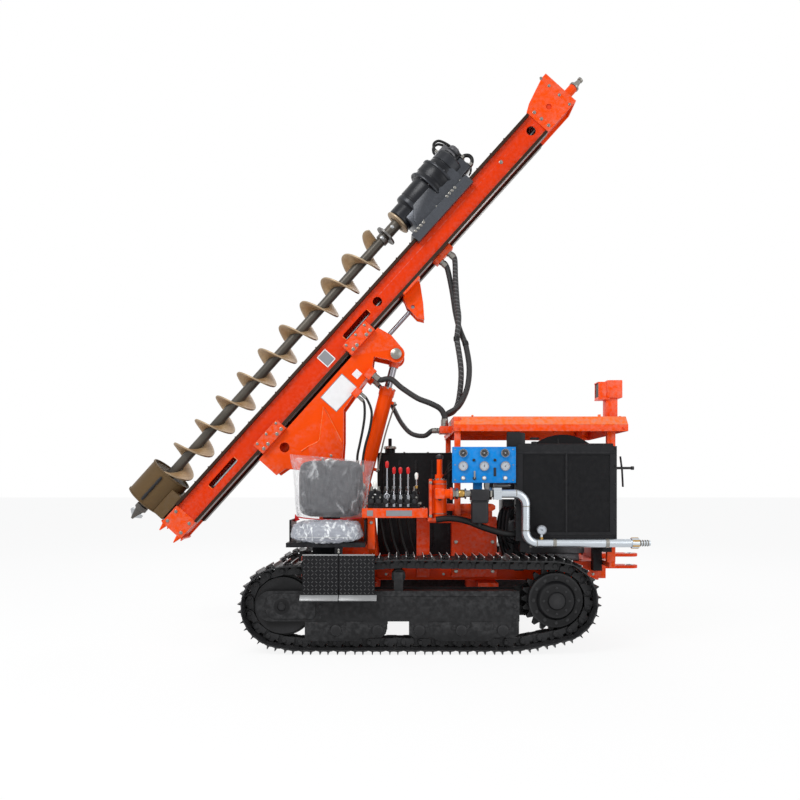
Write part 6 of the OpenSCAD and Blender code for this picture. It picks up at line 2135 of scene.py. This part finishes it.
@dataclass
class GaugePanel(Assembly):
    """The panel's board with its gauges and controls, and the gauge on the air line."""

    corner: Point = (0.458, -0.664, 1.103)
    gauges: tuple[tuple[float, float, float], ...] = ((0.07, 0.195, 0.028), (0.207, 0.195, 0.028),
                                                      (0.344, 0.195, 0.028), (0.07, 0.11, 0.032),
                                                      (0.207, 0.11, 0.032), (0.344, 0.11, 0.032))

    def build(self) -> None:
        """Show the board, then the gauges, the controls and the screws."""
        self._board()
        self._gauges()
        self._controls()

    def _board(self) -> None:
        """Show the board on its bracket, with its rim and screws."""
        x, y, z = self.corner
        board = Sheet().block((x, y, z), (x + 0.414, y + 0.03, z + 0.236), 0.0025)
        board.block((x + 0.142, y + 0.029, z), (x + 0.202, y + 0.09, z + 0.012), 0.001)
        board.block((x + 0.142, y + 0.064, 0.872), (x + 0.202, y + 0.09, z + 0.01), 0.002)
        board.block((x + 0.142, y + 0.064, 0.872), (x + 0.202, -0.39, 0.884), 0.001)
        self.piece("panel_board", board, Look.BLUE, "gauge_panel")
        rim = Sheet()
        for low, high in (((0.004, 0.004), (0.41, 0.008)), ((0.004, 0.228), (0.41, 0.232)),
                          ((0.004, 0.008), (0.008, 0.228)), ((0.406, 0.008), (0.41, 0.228))):
            rim.block((x + low[0], y - 0.0012, z + low[1]), (x + high[0], y + 0.0005, z + high[1]), 0.0004, 1)
        self.piece("panel_rim", rim, Look.BLUE)
        self.bolts("panel_screws", stations(WORLD, NEAR, 0.0045, [
            (x + a, y - 0.0003, z + b) for a in (0.018, 0.396) for b in (0.018, 0.118, 0.218)]), Look.ZINC, "dome")

    def _dial(self, centre: Point, radius: float, face: Sheet, bezel: Sheet, marks: Sheet,
              turn: float) -> list[Station]:
        """Add one round gauge to the sheets of its faces, bezels and needles.

        Args:
            centre: The middle of its face.
            radius: Its outer radius.
            face: The sheet of the dial faces.
            bezel: The sheet of the bezels.
            marks: The sheet of the needles.
            turn: The needle's angle from straight up, in radians.

        Returns:
            The stations of its ticks.
        """
        out = NEAR
        bezel.lathe([(-0.0148, radius * 0.9), (-0.0142, radius * 0.98), (0.001, radius * 1.0),
                     (0.0035, radius * 0.97), (0.0035, radius * 0.86), (0.0012, radius * 0.83), (0, radius * 0.82)],
                    centre, out, 36)
        face.lathe([(0.0004, radius * 0.84), (0.0012, radius * 0.835), (0.0012, 0)], centre, out, 32)
        x, y, z = centre
        s, c = math.sin(turn), math.cos(turn)
        marks.prism([(x - s * 0.006 + c * 0.0012, z - c * 0.006 - s * 0.0012),
                     (x - s * 0.006 - c * 0.0012, z - c * 0.006 + s * 0.0012),
                     (x + s * radius * 0.68, z + c * radius * 0.68)], y - 0.0024, y - 0.0018)
        marks.lathe([(0.0012, 0.0035), (0.003, 0.0035), (0.0034, 0)], centre, out, 12)
        ticks = []
        for k in range(21):
            angle = math.radians(-140 + 14 * k)
            ahead = (math.sin(angle), 0, math.cos(angle))
            reach = radius * 0.72
            ticks.append(Station((x + ahead[0] * reach, y - 0.0012, z + ahead[2] * reach), out, ahead,
                                 1.0 if k % 5 else 1.7))
        return ticks

    def _gauges(self) -> None:
        """Show the gauges with their faces, needles, bezels and ticks."""
        faces, dark, bezels, marks, pale, ticks, light = *(Sheet() for _ in range(5)), [], []
        x, y, z = self.corner
        for k, (across, up, radius) in enumerate(self.gauges):
            shown = (dark, pale, light) if up > 0.15 else (faces, marks, ticks)
            shown[2].extend(self._dial((x + across, y - 0.0145, z + up), radius, shown[0], bezels, shown[1],
                                       -2.1 + 0.55 * k))
        ticks += self._dial((1.032, PIPE_Y - 0.0165, 0.8), 0.031, faces, bezels, marks, -1.2)
        self.piece("gauge_dark_faces", dark, Look.DARK_DIAL)
        self.piece("gauge_pale_needles", pale, Look.PALE_DIAL)
        self.piece("gauge_bezels", bezels, Look.CHROME_UP)
        self.piece("gauge_faces", faces, Look.PALE_DIAL)
        self.piece("gauge_needles", marks, Look.DARK_DIAL)
        tick = Sheet().block((-0.0018, -0.0004, 0), (0.0018, 0.0004, 0.0003)).result("tick")
        for name, spots, look in (("gauge_ticks", ticks, Look.DARK_DIAL),
                                  ("gauge_pale_ticks", light, Look.PALE_DIAL)):
            self.show(name, self.shop.copies.at(name, tick, spots, look), look)

    def _controls(self) -> None:
        """Show the lamps, the knobs and their collars."""
        x, y, z = self.corner
        knobs, collars, lamps = Sheet(), Sheet(), Sheet()
        for across in (0.07, 0.207, 0.344):
            spot = (x + across, y, z + 0.032)
            lamps.lathe([(0.003, 0.0105), (0.01, 0.01), (0.013, 0.0065), (0.014, 0)], spot, NEAR, 24)
            collars.lathe([(-0.0005, 0.0105), (-0.0005, 0.0145), (0.004, 0.014), (0.005, 0.0105)], spot, NEAR, 24)
        knobs.block((x + 0.269, y - 0.006, z + 0.044), (x + 0.285, y + 0.001, z + 0.1), 0.002)
        knobs.lathe([(0, 0.011), (0.006, 0.011), (0.007, 0)], (x + 0.144, y - 0.001, z + 0.03), NEAR, 20)
        collars.block((x + 0.139, y - 0.012, z + 0.028), (x + 0.149, y - 0.006, z + 0.078), 0.002)
        self.piece("panel_lamps", lamps, Look.WHITE)
        for across in (0.14, 0.277):
            knobs.lathe([(-0.0005, 0.0095), (0.008, 0.0095), (0.01, 0.007), (0.01, 0)],
                        (x + across, y, z + 0.149), NEAR, 16)
        self.piece("panel_knobs", knobs, Look.PLASTIC)
        self.piece("knob_collars", collars, Look.ZINC)


@dataclass
class AirLine(Assembly):
    """The air line with its unions, elbow, filter and hoses."""

    high: float = 1.034
    low: float = 0.714

    def build(self) -> None:
        """Dress the pipe and add its fittings."""
        self.dress("air_pipe", Look.PIPE, 0.001)
        self._unions()
        self._hoses()
        self._elbow()
        self._filter()

    def _unions(self) -> None:
        """Show the line's unions, clamps and brass fittings."""
        y, high, low = PIPE_Y, self.high, self.low
        brass, zinc = Sheet(), Sheet()
        brass.lathe([(0.494, 0.018), (0.494, 0.0245), (0.497, 0.0265), (0.53, 0.0265), (0.533, 0.0245),
                     (0.533, 0.018)], (0, y, high), AHEAD, 28)
        for start, end, radius in ((0.457, 0.468, 0.038), (0.474, 0.493, 0.036), (0.534, 0.545, 0.034)):
            zinc.lathe([(start, 0.02), (start, radius * 0.95), (start + 0.002, radius), (end - 0.002, radius),
                        (end, radius * 0.95), (end, 0.02)], (0, y, high), AHEAD, 6)
        zinc.lathe([(0.452, 0), (0.452, 0.0215), (0.574, 0.0215), (0.574, 0)], (0, y, high), AHEAD, 28)
        brass.lathe([(1.613, 0.028), (1.614, 0.037), (1.658, 0.037), (1.66, 0.03)], (0, y, low), AHEAD, 6)
        brass.lathe([(0.736, 0.0095), (0.738, 0.014), (0.752, 0.014), (0.754, 0.0095)], (1.032, y, 0), sides=6)
        for start in (0.694, 0.738):
            zinc.lathe([(start, 0.024), (start, 0.0375), (start + 0.003, 0.04), (start + 0.013, 0.04),
                        (start + 0.016, 0.0375), (start + 0.016, 0.024)], (0, y, high), AHEAD, 6)
        for k in range(4):
            a = 1.665 + k * 0.016
            zinc.lathe([(a, 0.0188), (a + 0.004, 0.0225), (a + 0.01, 0.0188)], (0, y, low), AHEAD, 24)
        for x in (1.115, 1.455):
            zinc.lathe([(x - 0.011, 0.0272), (x - 0.011, 0.0305), (x + 0.011, 0.0305), (x + 0.011, 0.0272)],
                       (0, y, low), AHEAD, 32)
        for x, z in ((0.868, high), (0.931, 0.952), (0.931, 0.796), (1.0, low)):
            along = AHEAD if z in (high, low) else UP
            zinc.lathe([(-0.004, 0.0268), (-0.003, 0.0296), (0.003, 0.0296), (0.004, 0.0268)], (x, y, z), along, 32)
        self.piece("air_brass", brass, Look.BRASS)
        self.piece("air_unions", zinc, Look.ZINC)

    def _hoses(self) -> None:
        """Show the drain hose and the panel's three sense lines."""
        hose = Sheet().pipe(smooth_route([(0.352, -0.634, 0.862), (0.45, -0.636, 0.872),
                                          (0.56, -0.632, 0.852), (0.68, -0.63, 0.806), (0.8, -0.618, 0.772),
                                          (0.88, -0.6, 0.765)], 8), 0.021, 16)
        for k in range(3):
            spot = 0.394 + k * 0.006
            hose.pipe(smooth_route([(spot, -0.575, 1.13 + k * 0.002),
                                    (spot + 0.012, -0.62, 1.15 + k * 0.016),
                                    (0.432, -0.648, 1.176 + k * 0.02),
                                    (0.459, -0.655, 1.2 + k * 0.024)], 5), 0.003, 8)
        self.piece("drain_hose", hose, Look.RUBBER)

    def _elbow(self) -> None:
        """Show the elbow at the oiler, its deck and the relief fitting."""
        y, high = PIPE_Y, self.high
        elbow = Sheet().block((0.344, y - 0.034, high - 0.034), (0.404, -0.56, high + 0.034), 0.006)
        elbow.lathe([(0.4, 0.03), (0.44, 0.03), (0.441, 0.039), (0.4555, 0.039), (0.456, 0.02)],
                    (0, y, high), AHEAD, 32)
        elbow.prism([(0.4, 0.918), (0.735, 0.918), (0.752, 0.93), (0.752, 0.952), (0.735, 0.964), (0.4, 0.964)],
                    -0.56, -0.43, edge=0.003)
        elbow.block((0.475, -0.445, 0.871), (0.745, -0.43, 0.93), 0.002)
        self.piece("air_elbow", elbow, Look.ORANGE)
        fitting = Sheet().lathe([(0.735, 0), (0.735, 0.014), (0.76, 0.017), (0.83, 0.017), (0.845, 0.012),
                                 (0.846, 0)], (0, -0.6, 1.088), AHEAD, 20)
        self.piece("relief_fitting", fitting, Look.SHAFT)

    def _filter(self) -> None:
        """Show the filter with its bowl and drain."""
        y = PIPE_Y
        case = Sheet().block((0.572, y - 0.058, 0.988), (0.69, y + 0.058, 1.062), 0.007, 3)
        case.block((0.577, y - 0.052, 0.843), (0.685, y + 0.052, 0.99), 0.016, 4)
        case.block((0.574, y - 0.055, 0.981), (0.688, y + 0.055, 0.986), 0.002)
        case.lathe([(0.822, 0), (0.824, 0.011), (0.844, 0.013)], (0.631, y, 0), sides=16)
        case.lathe([(0.689, 0.024), (0.742, 0.024)], (0, y, self.high), AHEAD, 24)
        self.piece("filter_case", case, Look.PLASTIC, "air_filter")


@dataclass
class Engine(Assembly):
    """The engine with its fan."""

    crank: tuple[float, float] = (1.205, 0.82)
    blades: int = 7
    blade_turn: float = 32.0

    def build(self) -> None:
        """Show the engine's parts."""
        self._case()
        self._fittings()
        self._blades()
        self._belt()
        self._bolts()
        self._lines()

    def _case(self) -> None:
        """Show the block with its head, cover, flywheel end, manifolds and starter."""
        mid, near, far, body = self.crank[0], -0.3, 0.18, Sheet()
        body.block((1.04, -0.229, 0.56), (1.37, 0.129, 0.612), 0.008).block((1.0, near, 0.61), (1.41, far, 1.0), 0.01)
        for k in range(4):
            body.block((1.02, near - 0.006, 0.66 + k * 0.085), (1.39, near + 0.004, 0.676 + k * 0.085), 0.003)
        body.block((1.04, -0.29, 0.999), (1.37, 0.17, 1.12), 0.008)
        body.prism([(1.075, 1.119), (1.335, 1.119), (1.328, 1.152), (1.29, 1.175), (mid, 1.181), (1.12, 1.175),
                    (1.082, 1.152)], -0.28, 0.16, edge=0.004)
        body.block((1.04, near, 0.56), (1.37, -0.23, 0.611), 0.004)
        body.block((1.04, 0.13, 0.56), (1.37, 0.28, 0.611), 0.004)
        body.lathe([(0.18, 0.2), (0.182, 0.204), (0.246, 0.204), (0.25, 0.198), (0.25, 0)], (mid, 0, 0.85), FAR, 48)
        body.lathe([(0.25, 0.092), (0.33, 0.09), (0.35, 0.078), (0.35, 0)], (mid, 0, 0.85), FAR, 32)
        body.block((1.16, 0.349, 0.8), (1.25, 0.395, 0.9), 0.006)
        body.block((1.369, -0.25, 1.01), (1.456, 0.14, 1.07), 0.012)
        body.lathe([(1.069, 0.034), (1.19, 0.034), (1.192, 0.038), (1.2, 0.038), (1.2, 0.03)],
                   (1.418, 0, 0), sides=28)
        for y in (-0.22, -0.12, 0, 0.09):
            body.block((1.0, y, 1.035), (1.042, y + 0.046, 1.085), 0.005)
        body.lathe([(-0.26, 0), (-0.258, 0.034), (-0.25, 0.038), (0.14, 0.038), (0.15, 0.03), (0.15, 0)],
                   (0.97, 0, 1.06), FAR, 28)
        body.lathe([(-0.345, 0.06), (-0.34, 0.074), (-0.25, 0.076), (-0.245, 0.066), (-0.24, 0.076), (-0.17, 0.074),
                    (-0.165, 0.04)], (0.9277, 0, 0.78), FAR, 32)
        self.piece("engine", body, Look.ENGINE, "engine_block")

    def _fittings(self) -> None:
        """Show the filters, the pulleys, the intake, the coolers' hoses and the fan's hub."""
        mid, fan_x, fan_z, small = self.crank[0], *FAN, Sheet()
        for y in (-0.04, 0.07):
            small.lathe([(0.68, 0), (0.682, 0.046), (0.69, 0.048), (0.85, 0.048), (0.862, 0.04)],
                        (0.9517, y, 0), sides=28)
        small.block((0.904, -0.08, 0.86), (1.0, 0.11, 0.89), 0.006)
        small.lathe([(-0.35, 0.075), (-0.348, 0.092), (-0.34, 0.092), (-0.332, 0.082), (-0.322, 0.082),
                     (-0.314, 0.092), (-0.306, 0.092), (-0.3, 0.08)], (mid, 0, self.crank[1]), FAR, 40)
        small.lathe([(-0.35, 0.05), (-0.348, 0.068), (-0.34, 0.068), (-0.332, 0.06), (-0.322, 0.06), (-0.314, 0.068),
                     (-0.306, 0.068), (-0.3, 0.05)], (fan_x, 0, fan_z), FAR, 36)
        small.block((1.156, -0.305, 1.05), (1.256, -0.285, 1.166), 0.006)
        small.lathe([(-0.16, 0.06), (-0.156, 0.088), (0.15, 0.088), (0.152, 0.093), (0.166, 0.093), (0.17, 0.07)],
                    (0.847, 0, 1.09), FAR, 36)
        small.pipe(smooth_route([(0.847, -0.15, 1.09), (0.852, -0.215, 1.088), (0.9, -0.245, 1.075),
                                 (0.97, -0.235, 1.062)], 6), 0.034, 18)
        small.block((0.835, -0.33, 0.575), (0.992, -0.11, 0.7), 0.008)
        small.block((0.835, -0.3, 0.862), (0.992, -0.1, 0.988), 0.01)
        small.block((0.85, -0.306, 0.88), (0.977, -0.298, 0.97), 0.003)
        for out, low in ((0, 0.585), (0.026, 0.64), (0.052, 0.69)):
            small.pipe(smooth_route([(0.86 + out, -0.29, 0.93), (0.822 + out, -0.332, 0.905),
                                     (0.802 + out, -0.345, 0.82), (0.806 + out, -0.345, 0.73),
                                     (0.85 + out, -0.325, low)], 6), 0.0155, 14)
        small.lathe([(-0.52, 0.05), (-0.516, 0.066), (-0.484, 0.07), (-0.48, 0.04), (-0.35, 0.034)],
                    (mid, 0, fan_z), FAR, 28)
        self.piece("engine_fittings", small, Look.PLASTIC)

    def _blades(self) -> None:
        """Show the fan's blades."""
        blade = Sheet().prism([(-0.03, 0.06), (0.03, 0.06), (0.046, 0.282), (-0.042, 0.276)], -0.003, 0.003,
                              edge=0.001).result("fan_blade")
        turn = math.radians(self.blade_turn)
        spots = []
        for k in range(self.blades):
            angle = k * math.tau / self.blades
            tip = (math.sin(angle), 0, math.cos(angle))
            side = Vector((math.cos(angle), 0, -math.sin(angle))) * math.cos(turn) + Vector((0, math.sin(turn), 0))
            spots.append(Station((FAN[0], -0.5, FAN[1]), tip, tuple(side)))
        self.show("fan_blades", self.shop.copies.at("fan_blades", blade, spots, Look.PLASTIC), Look.PLASTIC)

    def _belt(self) -> None:
        """Show the fan belt round its two pulleys."""
        belt = Sheet()
        loop = []
        for (x, z), radius in ((self.crank, -0.0885), (FAN, 0.0655)):
            for k in range(13):
                angle = k * math.pi / 12
                loop.append((x + radius * math.cos(angle), -0.327, z + radius * math.sin(angle)))
        belt.pipe([*loop, loop[0]], 0.007, 8, closed_ends=False)
        self.piece("fan_belt", belt, Look.RUBBER)

    def _bolts(self) -> None:
        """Show the bolts of the head, the flywheel end and the block."""
        spots = stations(WORLD, UP, 0.011, [(x, y, 1.1205) for x in (1.055, 1.355)
                                            for y in (-0.27, -0.13, 0.01, 0.15)])
        spots += stations(WORLD, FAR, 0.01, around((1.205, 0.2505, 0.85), "y", 0.17, 12))
        spots += stations(WORLD, NEAR, 0.01, [(x, -0.3005, z) for x in (1.03, 1.38) for z in (0.66, 0.76, 0.95)])
        self.bolts("engine_bolts", spots, Look.ZINC)

    def _lines(self) -> None:
        """Show the injection lines and the fuel line."""
        lines = Sheet()
        for y in (-0.2, -0.1, 0, 0.1):
            lines.pipe(smooth_route([(1.12, y, 1.165), (1.1, y, 1.182), (1.06, y * 0.8, 1.16), (1.02, y * 0.6, 1.1),
                                     (1.012, y * 0.5, 1.02)], 5), 0.004, 8)
        lines.pipe(smooth_route([(0.9377, -0.2, 0.845), (0.95, -0.22, 0.9), (0.985, -0.28, 0.96), (1.0, -0.33, 0.9),
                                 (0.98, -0.36, 0.72), (0.93, -0.38, 0.6)], 6), 0.008, 10)
        self.piece("engine_lines", lines, Look.RUBBER)


@dataclass
class Saddle(Assembly):
    """The tilting saddle with its clamps and the mast's slide cylinder."""

    home: Body = Body.SADDLE
    face: float = 0.116
    outer: float = 0.1569

    def build(self) -> None:
        """Dress the saddle and add its pressings, bolts, blank plates and caps."""
        for node in ("saddle", "slide_clamps", "slide_barrel"):
            self.dress(node, Look.ORANGE, 0.004)
        pressed, ridge = Sheet(MAST), Sheet(MAST)
        for side in (-1, 1):
            pressed.prism([(0.277, 0.318), (0.178, 0.05), (0.1, -0.02), (0.03, -0.01), (-0.055, 0.15), (-0.01, 0.206),
                           (0.07, 0.172)], *between(side, 0.1155, 0.1205), edge=0.0022)
            ridge.pipe([(a, side * 0.1195, b) for a, b in ((-0.07, 0.222), (-0.01, 0.208), (0.045, 0.184),
                                                           (0.072, 0.176), (0.09, 0.186), (0.277, 0.318),
                                                           (0.262, 0.262), (0.178, 0.05))], 0.0032, 8)
        self.piece("saddle_pressing", pressed, Look.ORANGE)
        # The ridges are pale orange: a painted highlight along the pressings' edges.
        self.piece("saddle_ridges", ridge, Look.ORANGE_PALE)
        spots = []
        for side in (-1, 1):
            out = (0, float(side), 0)
            spots += stations(MAST, out, 0.0105, [(a, side * self.outer, 0.43) for a in (
                0.728, 0.768, 0.87, 0.911, -0.234, -0.189, -0.092, -0.046)])
            spots += stations(MAST, out, 0.008, [(a, side * self.outer, 0.487)
                                                 for a in (0.715, 0.817, 0.91, -0.24, -0.145, -0.04)])
            spots += stations(MAST, out, 0.009, [(0.894, side * (self.face + 0.0105), 0.183)])
        self.bolts("saddle_bolts", spots)
        plate, rim, square = Sheet(MAST), Sheet(MAST), Sheet(MAST)
        rim.block((0.312, -self.face - 0.0011, 0.222), (0.546, -self.face + 0.0002, 0.38), 0.0004, 1)
        plate.block((0.317, -self.face - 0.0016, 0.227), (0.541, -self.face - 0.0008, 0.375), 0.0003, 1)
        square.block((0.589, -self.face - 0.0013, 0.269), (0.643, -self.face + 0.0002, 0.323), 0.0004, 1)
        self.piece("saddle_plate_rim", rim, Look.GREY)
        self.piece("saddle_plate", plate, Look.WHITE)
        self.piece("saddle_square", square, Look.WHITE)
        trim = Sheet(MAST)
        for side in (-1, 1):
            for y, radius in ((0.127, 0.04), (0.133, 0.03)):
                trim.lathe([(0, radius), (0.004, radius), (0.006, radius - 0.003), (0.006, 0)],
                           (LUG[0], side * (y - 0.0005), LUG[1]), (0, float(side), 0), 32)
        trim.lathe([(0.975, 0.0395), (0.983, 0.0395), (0.985, 0.036), (0.985, 0.0162)], (0, 0, 0.33), AHEAD, 32)
        self.piece("saddle_caps", trim, Look.ZINC)


LIFT = Place(LIFT_FOOT, (0.25424, 0, 0.96714), FAR, (-0.96714, 0, 0.25424))


@dataclass
class Lift(Assembly):
    """The lift cylinder under the saddle."""

    home: Body = Body.LIFT_BARREL
    barrel: float = 0.7575
    reach: float = 0.9973

    def build(self) -> None:
        """Dress the barrel and turn the rod, the gland and the oil tube."""
        self.dress("lift_barrel", Look.ORANGE, 0.003)
        rod = Sheet(LIFT).lathe([(0.25, 0), (0.25, 0.028), (self.reach - 0.045, 0.028), (self.reach - 0.045, 0)],
                                axis=AHEAD, sides=40)
        self.piece("lift_rod_bar", rod, Look.CHROME, "lift_rod", body=Body.LIFT_ROD)
        eye = Sheet(LIFT).lathe([(-0.06, 0.0255), (-0.06, 0.049), (-0.057, 0.052), (0.057, 0.052), (0.06, 0.049),
                                 (0.06, 0.0255), (-0.06, 0.0255)], (self.reach, 0, 0), FAR, 40)
        eye.lathe([(self.reach - 0.085, 0.0285), (self.reach - 0.083, 0.036), (self.reach - 0.045, 0.04)],
                  axis=AHEAD, sides=32)
        self.piece("lift_rod_eye", eye, Look.ORANGE, "lift_rod", body=Body.LIFT_ROD)
        trim = Sheet(LIFT)
        trim.lathe([(0.745, 0.0585), (0.747, 0.061), (0.756, 0.061), (0.7595, 0.056), (0.7595, 0.0285)],
                   axis=AHEAD, sides=8)
        for a in (0.15, self.barrel - 0.1):
            trim.lathe([(-0.07, 0.0125), (-0.072, 0.016), (-0.084, 0.016), (-0.086, 0)], (a, 0, 0), sides=6)
        trim.pipe(smooth_route([(0.15, 0, -0.08), (0.152, 0.016, -0.09), (0.19, 0.024, -0.078),
                                (0.4, 0.024, -0.068), (0.62, 0.024, -0.078), (0.655, 0.016, -0.09),
                                (self.barrel - 0.1, 0, -0.08)], 6), 0.006, 12)
        self.piece("lift_tube", trim, Look.ZINC)


def main() -> None:
    """Build the rig's looks in order."""
    logging.basicConfig(level=logging.INFO, format="%(name)s %(message)s")
    Studio().build()
    shop = Shop()
    for kind in (Hoses, Tracks, Carrier, OperatorPost, Seat, Cooler, Canopy, GaugePanel, AirLine, Engine, Saddle,
                 Lift, Mast, RotaryHead, Screw):
        LOG.info("building %s", kind.__name__)
        kind(shop).build()


if __name__ == "__main__":
    main()
